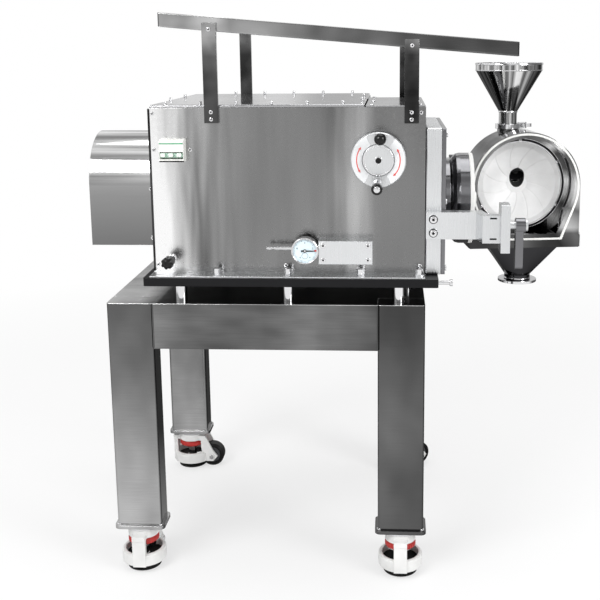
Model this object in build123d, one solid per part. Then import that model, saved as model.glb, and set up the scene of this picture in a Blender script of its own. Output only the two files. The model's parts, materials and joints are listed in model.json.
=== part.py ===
"""Disc mill on a caster stand, with a swing-open grinding chamber, feed hopper and gap adjuster.

X runs to the right, Y away from the front, Z up. All sizes are in millimetres.
Shapes are built round the stand's centre and moved at the end so that the
origin is at the bottom centre of the bounding box.
The grinding chamber is built closed and then swung open about its hinge.
"""

import math
import os

from build123d import *

os.makedirs("parts", exist_ok=True)

# Stand
stand_half_x = 340.0
stand_half_y = 300.0
stand_top = 620.0
leg_x = 100.0
leg_y = 60.0
tube_wall = 3.0
tube_corner = 7.0
rail_height = 100.0
rail_width = 60.0
foot_bottom = 102.0
foot_top = 110.0

# Levelling casters, under the middle of each leg
caster_x = stand_half_x - leg_x / 2
caster_y = stand_half_y - leg_y / 2
caster_trail = 58.0
wheel_radius = 32.0
wheel_width = 34.0
ring_outer = 49.0
ring_inner = 40.0
caster_ring_z0 = 17.5
caster_ring_z1 = 44.0
level_wheel_radius = 33.0
caster_turns = {"fl": 0.0, "fr": 0.0, "rl": -90.0, "rr": -60.0}

# Base plate and cabinet
plate_x0 = -263.0
plate_x1 = 368.0
plate_y0 = -280.0
plate_y1 = 290.0
plate_z0 = 653.0
plate_z1 = 671.0
cab_x0 = -250.0
cab_x1 = 340.0
cab_step_x = 213.0
cab_y0 = -230.0
cab_y1 = 265.0
cab_step_y = 105.0
cab_top = 1030.0
cab_flange_y = -275.0
sheet = 3.0

# Motor cover
cover_x0 = -400.0
cover_half = 112.0
cover_arch_z = 857.0
cover_bottom = 723.0

# Shaft line
axis_y = -70.0
axis_z = 813.0
spindle_r = 25.0
quill_r = 60.0
running_gap = 0.05
drum_radius = 103.0
disc_radius = 103.0
rotor_face = 450.0

# End plate
end_x0 = 342.0
end_x1 = 375.0
guard_x1 = 383.0
end_y0 = -235.0
end_y1 = 85.0
end_top = 986.0

# Grinding chamber, closed position
open_angle = 97.0
hinge_x = 419.0
hinge_y = 104.0
hinge_pin_r = 8.0
hinge_z0 = 705.0
hinge_z1 = 885.0
knuckle = 30.0
seal_x = 384.0
back_x = 520.0
chamber_r = 135.0
chamber_bottom = 663.0
cavity_r = 120.0
cavity_floor = 697.0
fixed_rim_x = 451.5
fixed_r = 105.0
holder_r = 115.0
dish_depth = 28.0
groove_count = 12
groove_depth = 1.3
feed_x = 498.0
feed_y = -48.0

# Hopper
hopper_rim_r = 82.7
hopper_neck_r = 22.5
hopper_foot_r = 26.0
hopper_wall = 3.0
collar_height = 17.0
cone_height = 103.0
neck_height = 41.0
hopper_base = axis_z + chamber_r + 2.0
hopper_neck_z = hopper_base + neck_height
hopper_collar = hopper_neck_z + cone_height
hopper_top = hopper_collar + collar_height
clamp_ring_r = 31.0
clamp_pivot = 40.0
clamp_lever_length = 16.0

# Upper rails
rail_size = 30.0
rail_x0 = -218.0
rail_x1 = 528.0
rail_slope = 5.08
rail_over_hopper = 21.08
upright_width = 30.0
upright_thick = 8.0
upright_low_x = -127.0
upright_high_x = 295.0
rear_upright_x = 288.0
upright_below_rail = 13.0

# Gap handwheel
hand_x = 241.0
hand_z = 922.0
hand_r = 58.0

# Dial gauge
gauge_x = 85.5
gauge_z = 730.0
gauge_r = 28.5

# Latch
latch_y = -285.0
latch_z = 789.0

nodes = {}


def block(x0, x1, y0, y1, z0, z1):
    return Pos((x0 + x1) / 2, (y0 + y1) / 2, (z0 + z1) / 2) * Box(x1 - x0, y1 - y0, z1 - z0)


def rod_x(radius, x0, x1, y, z):
    return Pos((x0 + x1) / 2, y, z) * Rot(0, 90, 0) * Cylinder(radius, x1 - x0)


def rod_y(radius, x, y0, y1, z):
    return Pos(x, (y0 + y1) / 2, z) * Rot(90, 0, 0) * Cylinder(radius, y1 - y0)


def rod_z(radius, x, y, z0, z1):
    return Pos(x, y, (z0 + z1) / 2) * Cylinder(radius, z1 - z0)


def polygon(points):
    return make_face(Polyline(*points, close=True))


def prism_x(points, x0, x1):
    return extrude(Plane.YZ.offset(x0) * polygon(points), amount=x1 - x0)


def prism_y(points, y0, y1):
    front = Plane(origin=(0, y0, 0), x_dir=(1, 0, 0), z_dir=(0, -1, 0))
    return extrude(front * polygon(points), amount=-(y1 - y0))


def prism_z(points, z0, z1):
    return extrude(Plane.XY.offset(z0) * polygon(points), amount=z1 - z0)


def turned_x(points, y, z):
    return Pos(0, y, z) * revolve(polygon(points), Axis.X, 360)


def turned_y(points, x, z):
    return Pos(x, 0, z) * revolve(Plane.YZ * polygon([(b, a) for a, b in points]), Axis.Y, 360)


def turned_z(points, x, y):
    return Pos(x, y, 0) * revolve(Plane.XZ * polygon(points), Axis.Z, 360)


def tombstone(radius, half_width, floor, x0, x1):
    drop = axis_z - floor
    reach = math.hypot(half_width, drop)
    turn = math.atan2(-drop, half_width) + math.acos(radius / reach)
    ty = radius * math.cos(turn)
    tz = radius * math.sin(turn)
    sides = [
        Line((-half_width, -drop), (half_width, -drop)),
        Line((half_width, -drop), (ty, tz)),
        ThreePointArc((ty, tz), (0, radius), (-ty, tz)),
        Line((-ty, tz), (-half_width, -drop)),
    ]
    face = Plane(origin=(x0, axis_y, axis_z), x_dir=(0, 1, 0), z_dir=(1, 0, 0)) * make_face(sides)
    return extrude(face, amount=x1 - x0)


def swing(shape):
    return shape.rotate(Axis((hinge_x, hinge_y, 0), (0, 0, 1)), open_angle)


def keep(name, shape):
    nodes[name] = shape


# Stand: four rectangular tube legs with rails between them
legs = None
plates = None
for sx in (-1, 1):
    for sy in (-1, 1):
        cx = sx * caster_x
        cy = sy * (stand_half_y - leg_y / 2)
        leg = block(cx - leg_x / 2, cx + leg_x / 2, cy - leg_y / 2, cy + leg_y / 2, foot_top, stand_top)
        leg = fillet(leg.edges().filter_by(Axis.Z), tube_corner)
        leg -= block(
            cx - leg_x / 2 + tube_wall,
            cx + leg_x / 2 - tube_wall,
            cy - leg_y / 2 + tube_wall,
            cy + leg_y / 2 - tube_wall,
            foot_top - 1,
            stand_top - tube_wall,
        )
        legs = leg if legs is None else legs + leg
        foot = block(cx - 56, cx + 56, cy - 36, cy + 36, foot_bottom, foot_top)
        foot = fillet(foot.edges().filter_by(Axis.Z), 12)
        foot -= rod_z(8 + running_gap, cx, sy * caster_y, foot_bottom - 1, foot_top + 1)
        plates = foot if plates is None else plates + foot
keep("stand_legs", legs)
keep("foot_plates", plates)

rail_bottom = stand_top - rail_height
rail_half = rail_width / 2
bore_half = rail_half - tube_wall
front_half = stand_half_x - leg_x
side_half = stand_half_y - leg_y
stand_rails = None
for sy in (-1, 1):
    cy = sy * (stand_half_y - rail_half)
    bar = block(-front_half, front_half, cy - rail_half, cy + rail_half, rail_bottom, stand_top)
    bar -= block(
        -front_half - 1,
        front_half + 1,
        cy - bore_half,
        cy + bore_half,
        rail_bottom + tube_wall,
        stand_top - tube_wall,
    )
    stand_rails = bar if stand_rails is None else stand_rails + bar
for sx in (-1, 1):
    cx = sx * (stand_half_x - rail_half)
    bar = block(cx - rail_half, cx + rail_half, -side_half, side_half, rail_bottom, stand_top)
    bar -= block(
        cx - bore_half,
        cx + bore_half,
        -side_half - 1,
        side_half + 1,
        rail_bottom + tube_wall,
        stand_top - tube_wall,
    )
    stand_rails += bar
# A welded sheet closes the top of the stand between the rails
sheet_x = stand_half_x - rail_width
sheet_y = stand_half_y - rail_width
stand_rails += block(-sheet_x, sheet_x, -sheet_y, sheet_y, stand_top - tube_wall, stand_top)
keep("stand_rails", stand_rails)


# Levelling casters: swivel body, running wheel, thumbwheel with its pad
def caster_parts():
    body = rod_z(34, 0, 0, 78, foot_bottom - 0.5)
    body += rod_z(8, 0, 0, foot_bottom - 1, foot_top + 4)
    ring = rod_z(ring_outer, 0, 0, caster_ring_z0, caster_ring_z1)
    ring = fillet(ring.edges(), 3)
    ring -= rod_z(ring_inner, 0, 0, caster_ring_z0 - 1, caster_ring_z1 + 1)
    ring -= block(-19.5, 19.5, 0, 60, caster_ring_z0 - 1, caster_ring_z1 + 1)
    body += ring
    body += block(-14.5, 14.5, -ring_outer, -38, caster_ring_z0, 90)
    body += block(-14.5, 14.5, -50, -20, 78, 90)
    cheek = prism_x(
        [(31, 18), (62, 18), (74, 32), (62, 48), (40, 92), (0, 92), (0, 78), (29, 78), (29, 60), (31, 44)],
        19.5,
        26,
    )
    body += cheek
    body += Pos(-45.5, 0, 0) * cheek
    body += rod_x(4, -28, 28, caster_trail, wheel_radius)
    body += rod_x(8, 26, 30, caster_trail, wheel_radius)
    body += rod_x(8, -30, -26, caster_trail, wheel_radius)
    body -= rod_z(9 + running_gap, 0, 0, 70, 90)
    half = wheel_width / 2
    r = wheel_radius
    tread = [
        (-half, 4 + running_gap),
        (-half, 12),
        (-half + 4, 13),
        (-half + 4, 22),
        (-half, 23),
        (-half, r - 5),
        (-half + 5, r),
        (half - 5, r),
        (half, r - 5),
        (half, 23),
        (half - 4, 22),
        (half - 4, 13),
        (half, 12),
        (half, 4 + running_gap),
    ]
    wheel = turned_x(tread, caster_trail, r)
    pad = [
        (0, 2.5),
        (35, 2.5),
        (37, 3.5),
        (37, 5),
        (32, 11),
        (22, 15),
        (10, 15),
        (10, 61),
        (29, 61),
        (level_wheel_radius, 64),
        (level_wheel_radius, 72),
        (30, 75),
        (9, 75),
        (9, 88),
        (0, 88),
    ]
    level = turned_z(pad, 0, 0)
    return body, wheel, level


body_shape, wheel_shape, level_shape = caster_parts()
for corner, turn in caster_turns.items():
    cx = caster_x if corner[1] == "r" else -caster_x
    cy = -caster_y if corner[0] == "f" else caster_y
    place = Pos(cx, cy, 0) * Rot(0, 0, turn)
    keep("caster_" + corner + "_body", place * body_shape)
    keep("caster_" + corner + "_wheel", place * wheel_shape)
    keep("caster_" + corner + "_leveller", place * level_shape)

# Base plate on spacer posts
deck = block(plate_x0, plate_x1, plate_y0, plate_y1, plate_z0, plate_z1)
deck = fillet(deck.edges().filter_by(Axis.Z), 5)
keep("base_plate", deck)
posts = None
for px in (-183, 48, 284):
    for py in (-265, 265):
        post = rod_z(12, px, py, stand_top, plate_z0)
        posts = post if posts is None else posts + post
posts += rod_z(6, 304, -150, stand_top, plate_z0)
keep("base_posts", posts)
stud_end = plate_x1 + 24
bolt_set = rod_x(4, plate_x1, stud_end, -268, 662) + rod_x(7, stud_end, stud_end + 6, -268, 662)
for bx in (-107, 47, 202, 328):
    head = Pos(bx, -254, plate_z1 + 3 + 7) * extrude(RegularPolygon(8, 6), amount=7, both=True)
    bolt_set += head
keep("base_bolts", bolt_set)

# Cabinet: sheet shell with a shallower right-hand part
outline = [
    (cab_x0, cab_y0),
    (cab_x1, cab_y0),
    (cab_x1, cab_step_y),
    (cab_step_x, cab_step_y),
    (cab_step_x, cab_y1),
    (cab_x0, cab_y1),
]
inner = [
    (cab_x0 + sheet, cab_y0 + sheet),
    (cab_x1 - sheet, cab_y0 + sheet),
    (cab_x1 - sheet, cab_step_y - sheet),
    (cab_step_x - sheet, cab_step_y - sheet),
    (cab_step_x - sheet, cab_y1 - sheet),
    (cab_x0 + sheet, cab_y1 - sheet),
]
shell = prism_z(outline, plate_z1, cab_top)
shell -= prism_z(inner, plate_z1 - 1, cab_top + 1)
shell -= rod_x(96, cab_x0 - 1, cab_x0 + 10, axis_y, axis_z)
shell -= rod_x(quill_r + 2, cab_x1 - 10, cab_x1 + 1, axis_y, axis_z)
shell -= rod_y(13, hand_x, cab_y0 - 1, cab_y0 + 10, hand_z)
shell -= rod_y(5 + running_gap, -208, cab_y0 - 1, cab_y0 + 10, 704)
keep("cabinet_shell", shell)
keep("cabinet_flange", block(cab_x0, cab_x1, cab_flange_y, cab_y0, plate_z1, plate_z1 + sheet))

lid = block(cab_x0 + 4, cab_step_x - 2, cab_y0 + 2, cab_y1 - 3, cab_top, cab_top + 6)
lid = chamfer(lid.faces().sort_by(Axis.Z)[-1].edges(), 2)
keep("top_lid", lid)
side_top = block(cab_step_x + 1, cab_x1 - 1, cab_y0 + 1, cab_step_y - 1, cab_top, cab_top + 3)
keep("side_top_panel", side_top)


# Motor cover: half-round-topped sheet cover, open towards the cabinet
def arch(half, bottom, x0, x1):
    body = rod_x(half, x0, x1, axis_y, cover_arch_z)
    return body + block(x0, x1, axis_y - half, axis_y + half, bottom, cover_arch_z)


cover = arch(cover_half, cover_bottom, cover_x0, cab_x0)
cover -= arch(cover_half - sheet, cover_bottom + sheet, cover_x0 + sheet, cab_x0 + 1)
for k in range(6):
    slot_z = 775 + 18 * k
    cover -= block(cover_x0 - 1, cover_x0 + 5, axis_y - 60, axis_y + 60, slot_z, slot_z + 6)
keep("motor_cover", cover)

# Motor, bearing housing, quill and spindle inside the cabinet
motor = rod_x(84, -380, -130, axis_y, axis_z)
motor = chamfer(motor.edges().group_by(Axis.X)[0], 10)
motor += block(-236, -140, axis_y - 75, axis_y + 75, plate_z1, 760)
motor -= rod_x(14 + running_gap, -180, -129, axis_y, axis_z)
keep("motor", motor)

housing = block(60, 330, axis_y - 95, axis_y + 95, plate_z1, 905)
housing -= rod_x(quill_r, 59, 331, axis_y, axis_z)
keep("bearing_housing", housing)

quill = rod_x(quill_r - running_gap, 80, 388, axis_y, axis_z) + rod_x(90, 388, 400, axis_y, axis_z)
quill = chamfer(quill.edges().group_by(Axis.X)[-1], 2)
quill -= rod_x(spindle_r + running_gap, 79, 401, axis_y, axis_z)
keep("quill", quill)

spindle = rod_x(14, -168, -95, axis_y, axis_z)
spindle += rod_x(38, -95, -45, axis_y, axis_z)
spindle += rod_x(spindle_r, -45, 441, axis_y, axis_z)
keep("spindle", spindle)

drum_side = [
    (401.5, spindle_r),
    (401.5, 88),
    (404, 93),
    (412, 101),
    (420, drum_radius),
    (441, drum_radius),
    (441, spindle_r),
]
drum = turned_x(drum_side, axis_y, axis_z)
keep("rotor_drum", drum)


def groove_face(flip, half_width):
    def at(radius, turn, side):
        a = math.radians(turn) * flip + side * half_width / radius
        return (radius * math.cos(a), radius * math.sin(a))

    left = [at(24, 0, -1), at(62, 8, -1), at(101, 20, -1)]
    right = [at(24, 0, 1), at(62, 8, 1), at(101, 20, 1)]
    return make_face(
        [
            ThreePointArc(*left),
            Line(left[2], right[2]),
            ThreePointArc(right[2], right[1], right[0]),
            Line(right[0], left[0]),
        ]
    )


rotor_disc = rod_x(disc_radius, 441, rotor_face, axis_y, axis_z)
rotor_disc = chamfer(rotor_disc.edges().group_by(Axis.X)[-1], 1)
cutter = extrude(Plane.YZ.offset(rotor_face - 2) * groove_face(-1, 2.6), amount=5)
for k in range(groove_count):
    rotor_disc -= Pos(0, axis_y, axis_z) * Rot(k * 360 / groove_count, 0, 0) * cutter
rotor_disc += turned_x([(rotor_face, 0), (rotor_face, 18), (457, 18), (461, 12), (461, 0)], axis_y, axis_z)
keep("rotor_disc", rotor_disc)

# End plate and guard plate
end_plate = block(end_x0, end_x1, end_y0, end_y1, plate_z1, end_top)
end_plate = fillet(end_plate.edges().filter_by(Axis.X), 6)
end_plate = chamfer(end_plate.faces().sort_by(Axis.Y)[0].edges().filter_by(Axis.Z), 2)
end_plate -= rod_x(quill_r + 2, end_x0 - 1, end_x1 + 1, axis_y, axis_z)
keep("end_plate", end_plate)
guard = block(end_x1, guard_x1, end_y0 + 1, end_y1, plate_z1, end_top - 1)
guard = fillet(guard.edges().filter_by(Axis.X), 6)
guard -= rod_x(quill_r + 2, end_x1 - 1, guard_x1 + 1, axis_y, axis_z)
keep("guard_plate", guard)

# Hinge at the rear of the end plate
bracket = block(345, end_x1, end_y1, 118, hinge_z0, hinge_z1)
for z0 in (hinge_z0, hinge_z1 - knuckle):
    bracket += block(345, hinge_x, hinge_y - 14, 118, z0, z0 + knuckle)
    bracket += rod_z(16, hinge_x, hinge_y, z0, z0 + knuckle)
bracket -= rod_z(hinge_pin_r, hinge_x, hinge_y, hinge_z0 - 1, hinge_z1 + 1)
keep("hinge_bracket", bracket)
pin = rod_z(hinge_pin_r, hinge_x, hinge_y, hinge_z0, hinge_z1)
pin += rod_z(11, hinge_x, hinge_y, hinge_z1, hinge_z1 + 8)
pin += rod_z(11, hinge_x, hinge_y, hinge_z0 - 8, hinge_z0)
keep("hinge_pin", pin)

# Grinding chamber housing, built closed
chamber = tombstone(chamber_r, chamber_r, chamber_bottom, seal_x, back_x)
chamber = fillet(chamber.faces().sort_by(Axis.X)[-1].edges(), 6)
base_z = chamber_bottom + 1
base_half = chamber_r + 3
chamber += block(seal_x, back_x - 6, axis_y - base_half, axis_y + base_half, base_z, base_z + 30)
chamber += rod_z(24, feed_x, feed_y, 840, hopper_base - 6)
chamber += rod_z(hopper_foot_r, feed_x, feed_y, hopper_base - 20, hopper_base)
low_gap = hinge_z0 + knuckle + 0.4
high_gap = hinge_z1 - knuckle - 0.4
chamber += block(
    hinge_x - 14,
    hinge_x + 14,
    axis_y + chamber_r - 5,
    hinge_y,
    low_gap + 8,
    high_gap - 8,
)
chamber += rod_z(16, hinge_x, hinge_y, low_gap, high_gap)
chamber -= rod_z(hinge_pin_r + running_gap, hinge_x, hinge_y, hinge_z0, hinge_z1)

cavity = tombstone(cavity_r, 78, cavity_floor, seal_x - 1, fixed_rim_x)
chamber -= cavity
throat = [
    (seal_x + 13, 730),
    (fixed_rim_x, 730),
    (498, chamber_bottom - 1),
    (seal_x + 20, chamber_bottom - 1),
]
chamber -= prism_y(throat, axis_y - 74, axis_y + 74)

back_bowl = [(463.5, 0), (463.5, 96), (463.5 + dish_depth, 28), (463.5 + dish_depth, 0)]
chamber -= rod_x(holder_r, fixed_rim_x - 1, 463.5, axis_y, axis_z)
chamber -= turned_x(back_bowl, axis_y, axis_z)

elbow_z = axis_z + 15 + (feed_x - fixed_rim_x - dish_depth)
slant = Pos(feed_x, axis_y, elbow_z) * Rot(0, 45, 0) * Pos(0, 0, -25) * Cylinder(19, 50)
channel = slant + Pos(feed_x, axis_y, elbow_z) * Sphere(19)
channel += rod_y(18, feed_x, axis_y, feed_y, elbow_z)
channel += Pos(feed_x, feed_y, elbow_z) * Sphere(18)
channel += rod_z(18, feed_x, feed_y, elbow_z, hopper_base + 1)
chamber -= channel

seal = tombstone(132.5, 92.5, 682.5, seal_x - 0.6, seal_x + 2.4)
seal -= tombstone(127.5, 87.5, 687.5, seal_x - 1, seal_x + 3)
chamber -= seal
keep("chamber_housing", swing(chamber))
keep("chamber_gasket", swing(seal))

holder = rod_x(holder_r, fixed_rim_x, 463.5, axis_y, axis_z) - rod_x(fixed_r, 450, 465, axis_y, axis_z)
ring_groove = rod_x(holder_r - 2, fixed_rim_x - 1, fixed_rim_x + 3, axis_y, axis_z)
holder -= ring_groove - rod_x(fixed_r + 3.5, fixed_rim_x - 2, fixed_rim_x + 4, axis_y, axis_z)
keep("disc_holder", swing(holder))

# Fixed grinding disc: dished face with curved grooves and a slanting feed hole
fixed = turned_x(
    [
        (fixed_rim_x, 0.0),
        (fixed_rim_x, fixed_r),
        (463.5, fixed_r),
        (463.5, 96),
        (463.5 + dish_depth, 28),
        (463.5 + dish_depth, 0.0),
    ],
    axis_y,
    axis_z,
)
dish = [
    (fixed_rim_x - 1, 0),
    (fixed_rim_x - 1, 92),
    (fixed_rim_x, 92),
    (fixed_rim_x + dish_depth, 26),
    (fixed_rim_x + dish_depth, 0),
]
fixed -= turned_x(dish, axis_y, axis_z)
layer = turned_x(
    [
        (fixed_rim_x - 3, 100),
        (fixed_rim_x - 3, 92),
        (fixed_rim_x + dish_depth - 5, 26),
        (fixed_rim_x + dish_depth + groove_depth, 26),
        (fixed_rim_x + groove_depth, 92),
        (fixed_rim_x + groove_depth, 100),
    ],
    0,
    0,
)
groove = layer & extrude(Plane.YZ.offset(445) * groove_face(1, 1.7), amount=45)
for k in range(groove_count):
    fixed -= Pos(0, axis_y, axis_z) * Rot(k * 360 / groove_count, 0, 0) * groove
fixed -= channel
keep("fixed_disc", swing(fixed))

# Hopper with its clamp
hopper = turned_z(
    [
        (hopper_rim_r, hopper_top),
        (hopper_rim_r, hopper_collar),
        (hopper_neck_r, hopper_neck_z),
        (hopper_neck_r, hopper_base + 9),
        (hopper_foot_r, hopper_base + 6),
        (hopper_foot_r, hopper_base),
        (18, hopper_base),
        (18, hopper_neck_z),
        (hopper_rim_r - hopper_wall, hopper_collar + 1),
        (hopper_rim_r - hopper_wall, hopper_top),
    ],
    feed_x,
    feed_y,
)
keep("hopper", swing(hopper))

pivot_y = feed_y - clamp_pivot
ring_z0 = hopper_base - 1
ring_z1 = hopper_base + 11
ring_bore = hopper_foot_r + running_gap
clamp = rod_z(clamp_ring_r, feed_x, feed_y, ring_z0, ring_z1)
for z0, z1 in ((ring_z0, ring_z0 + 3), (ring_z1, ring_z1 + 3)):
    clamp += rod_z(8, feed_x, pivot_y, z0, z1) + block(feed_x - 8, feed_x + 8, pivot_y, feed_y - 28, z0, z1)
clamp += block(feed_x - 8, feed_x + 8, feed_y - clamp_ring_r, feed_y - 27, ring_z0, ring_z1 + 3)
clamp += rod_z(3, feed_x, pivot_y, ring_z0, ring_z1 + 3)
clamp -= rod_z(ring_bore, feed_x, feed_y, ring_z0 - 1, ring_z1 + 4)
keep("hopper_clamp", swing(clamp))
lever_z0 = ring_z0 + 3.3
lever_z1 = ring_z1 - 0.3
lever_tip = pivot_y - clamp_lever_length
lever = rod_z(7.5, feed_x, pivot_y, lever_z0, lever_z1) + rod_z(5, feed_x, lever_tip, lever_z0, lever_z1)
lever += block(feed_x - 5, feed_x + 5, lever_tip, pivot_y, lever_z0, lever_z1)
lever -= rod_z(3 + running_gap, feed_x, pivot_y, lever_z0 - 1, lever_z1 + 1)
keep("clamp_lever", swing(lever))

# Outlet spout with its flange
outlet_top = Pos(450, axis_y, chamber_bottom) * Rectangle(116, 170)
outlet_low = Pos(450, axis_y, 584) * Circle(32)
outlet = loft([outlet_top, outlet_low])
outlet += rod_z(32, 450, axis_y, 566, 584)
hollow_top = Pos(450, axis_y, chamber_bottom) * Rectangle(104, 158)
hollow_low = Pos(450, axis_y, 584) * Circle(28)
outlet -= loft([hollow_top, hollow_low])
outlet -= rod_z(28, 450, axis_y, 565, 585)
keep("outlet", swing(outlet))
spout_ring = rod_z(48, 450, axis_y, 566, 572) - rod_z(32 + running_gap, 450, axis_y, 565, 573)
keep("outlet_flange", swing(spout_ring))

# Latch: arm from the end plate, post, and a lever that swings behind the closed chamber
arm = prism_z(
    [
        (341, -263),
        (445, -263),
        (455, -305),
        (491, -305),
        (491, -277),
        (468, -277),
        (458, end_y0),
        (341, end_y0),
    ],
    754.6,
    812,
)
for bz in (769, 798):
    arm += rod_y(9.5, 356, -269, -262, bz)
    arm -= rod_y(5, 356, -270, -264, bz)
keep("latch_arm", arm)
post = block(491, 510, -320, -272, 736, 836)
post = fillet(post.edges().filter_by(Axis.X), 3)
post += rod_x(8, 509, 546, latch_y, latch_z)
post += rod_x(12, 544.4, 549, latch_y, latch_z)
keep("latch_post", post)
strap = rod_x(15.5, 524, 544, latch_y, latch_z)
strap += block(524, 540, latch_y - 11, latch_y + 11, latch_z - 81, latch_z)
strap += rod_x(11, 524, 540, latch_y, latch_z - 81)
strap -= rod_x(8 + running_gap, 520, 550, latch_y, latch_z)
keep("latch_lever", strap)

# Uprights and sloped rails: the rails end just above the hopper of the open chamber
slope = math.tan(math.radians(rail_slope))
rail_top_left = hopper_top + rail_over_hopper + rail_size + (rail_x1 - rail_x0) * slope


def rail_top(x):
    return rail_top_left - (x - rail_x0) * slope


def upright(x0, y0, z0):
    top = rail_top(x0 + upright_width / 2) - upright_below_rail
    return block(x0, x0 + upright_width, y0, y0 + upright_thick, z0, top)


uprights = upright(upright_low_x, cab_y0 - upright_thick, cab_top - 32)
uprights += upright(upright_high_x, cab_y0 - upright_thick, cab_top - 34)
uprights += upright(upright_low_x, cab_y1, cab_top - 32)
uprights += upright(rear_upright_x, cab_y1, plate_z1)
foot_x1 = rear_upright_x + upright_width
uprights += block(rear_upright_x, foot_x1, cab_y1 - 40, cab_y1, plate_z1, plate_z1 + upright_thick)
keep("uprights", uprights)

rails = None
for y0 in (cab_y0, cab_y1 - rail_size):
    side = [
        (rail_x0, rail_top(rail_x0)),
        (rail_x1, rail_top(rail_x1)),
        (rail_x1, rail_top(rail_x1) - rail_size),
        (rail_x0, rail_top(rail_x0) - rail_size),
    ]
    bar = prism_y(side, y0, y0 + rail_size)
    bar = fillet(bar.edges().filter_by(Axis.Y, reverse=True).filter_by(Axis.Z, reverse=True), 3)
    rails = bar if rails is None else rails + bar
keep("sloped_rails", rails)
ties = None
for x0 in (rail_x0, rail_x1 - rail_size):
    side = [
        (x0, rail_top(x0)),
        (x0 + rail_size, rail_top(x0 + rail_size)),
        (x0 + rail_size, rail_top(x0 + rail_size) - rail_size),
        (x0, rail_top(x0) - rail_size),
    ]
    bar = prism_y(side, cab_y0 + rail_size, cab_y1 - rail_size)
    ties = bar if ties is None else ties + bar
keep("rail_ties", ties)

# Circuit breaker on the front panel
pole_pitch = 17.5
toggle_y = -249.0
toggle_z = 931.0
breaker_x = -196.5
breaker_half = 26.5
breaker = block(breaker_x - breaker_half, breaker_x + breaker_half, toggle_y, cab_y0, 917, 965)
breaker += block(breaker_x - breaker_half, breaker_x + breaker_half, -255, toggle_y, 920, 962)
breaker -= block(breaker_x - 25, breaker_x + 25, -256, -242, toggle_z - 7.5, toggle_z + 7.5)
breaker += rod_x(2, breaker_x - 26, breaker_x + 26, toggle_y, toggle_z)
keep("breaker_body", breaker)
toggles = None
for k in range(3):
    tx = breaker_x + (k - 1) * pole_pitch
    piece = rod_x(5.5, tx - pole_pitch / 2, tx + pole_pitch / 2, toggle_y, toggle_z)
    piece = piece & block(breaker_x - 24.5, breaker_x + 24.5, -260, cab_y0, 900, 980)
    piece += Pos(tx, toggle_y, toggle_z) * Rot(-12, 0, 0) * Pos(0, -6.5, 0) * Box(9, 9, 8)
    toggles = piece if toggles is None else toggles + piece
toggles -= rod_x(2 + running_gap, breaker_x - 30, breaker_x + 30, toggle_y, toggle_z)
keep("breaker_toggles", toggles)

# Panel lock knob at lower left
knob = rod_y(5, -208, -262, -215, 704) + rod_y(11, -208, -288, -262, 704)
knob = chamfer(knob.edges().group_by(Axis.Y)[0], 2)
keep("lock_knob", knob)

# Gap handwheel with its two knobs, shaft and adjuster box
wheel = turned_y(
    [
        (0, -271),
        (30, -271),
        (32.5, -269),
        (32.5, -265),
        (hand_r - 2, -265),
        (hand_r, -263),
        (hand_r, -250),
        (hand_r - 2, -248),
        (22, -248),
        (22, -234),
        (12, -234),
        (12, -30),
        (0, -30),
    ],
    hand_x,
    hand_z,
)
wheel += rod_y(4, 245, -292, -264, 968.6)
wheel += rod_y(5, 239, -332, -264, 872)
keep("handwheel", wheel)
ball = Pos(245, -298, 968.6) * Sphere(12.5)
ball += rod_y(8, 245, -298, -281, 968.6)
ball -= rod_y(4 + running_gap, 245, -292.2, -270, 968.6)
keep("handwheel_ball", ball)
ring_knob = rod_y(11.5, 239, -346, -328, 872)
ring_knob = fillet(ring_knob.edges().group_by(Axis.Y)[0], 3)
ring_knob -= rod_y(5 + running_gap, 239, -332.2, -327, 872)
keep("handwheel_knob", ring_knob)
box = block(hand_x - 36, hand_x + 36, axis_y - 75, axis_y + 75, 905, 950)
box -= rod_y(12 + running_gap, hand_x, axis_y - 76, axis_y + 45, hand_z)
keep("adjuster_box", box)

# Dial gauge, its block and plunger
case = rod_y(gauge_r, gauge_x, -275, -250, gauge_z)
case = chamfer(case.edges().group_by(Axis.Y)[-1], 2)
case -= rod_y(25.5, gauge_x, -276, -270, gauge_z)
case += rod_x(6, gauge_x + 24, 114, -262, 734)
case += rod_x(4, 20, gauge_x - 24, -262, 734)
case += rod_y(2, gauge_x, -273.5, -269, gauge_z)
case -= rod_x(2.5 + running_gap, 19, gauge_x - 21.5, -262, 734)
keep("gauge_case", case)
face = rod_y(25.5, gauge_x, -271.2, -270, gauge_z) - rod_y(2, gauge_x, -272, -269, gauge_z)
keep("gauge_face", face)
needle = rod_y(3.5, gauge_x, -273.2, -271.7, gauge_z)
hand = [
    (gauge_x - 8, gauge_z - 1.6),
    (gauge_x + 21, gauge_z - 0.7),
    (gauge_x + 21, gauge_z + 0.7),
    (gauge_x - 8, gauge_z + 1.6),
]
needle += prism_y(hand, -273.2, -271.7)
needle -= rod_y(2 + running_gap, gauge_x, -275, -270, gauge_z)
keep("gauge_needle", needle)
plunger = rod_x(2.5, 4, gauge_x - 25, -262, 734) + rod_x(4, 3.5, 14, -262, 734)
keep("gauge_plunger", plunger)
carrier = block(114, 229, -270, cab_y0, 700, 751)
carrier = fillet(carrier.faces().sort_by(Axis.Y)[0].edges(), 2)
for sx in (124, 219):
    for sz in (710, 741):
        carrier -= rod_y(4.5, sx, -271, -268, sz)
keep("gauge_block", carrier)

boxes = [shape.bounding_box() for shape in nodes.values()]
low = [min(getattr(b.min, axis) for b in boxes) for axis in "XYZ"]
high = [max(getattr(b.max, axis) for b in boxes) for axis in "XYZ"]
centre_x = (low[0] + high[0]) / 2
centre_y = (low[1] + high[1]) / 2
print("centre", round(centre_x, 4), round(centre_y, 4), "low", low, "high", high)
for name, shape in nodes.items():
    export_step(Pos(-centre_x, -centre_y, -low[2]) * shape, "parts/" + name + ".step")
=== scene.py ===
"""Looks for the disc mill: finishes for every CAD piece, and the small parts that dress them."""

import json
import math

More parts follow.
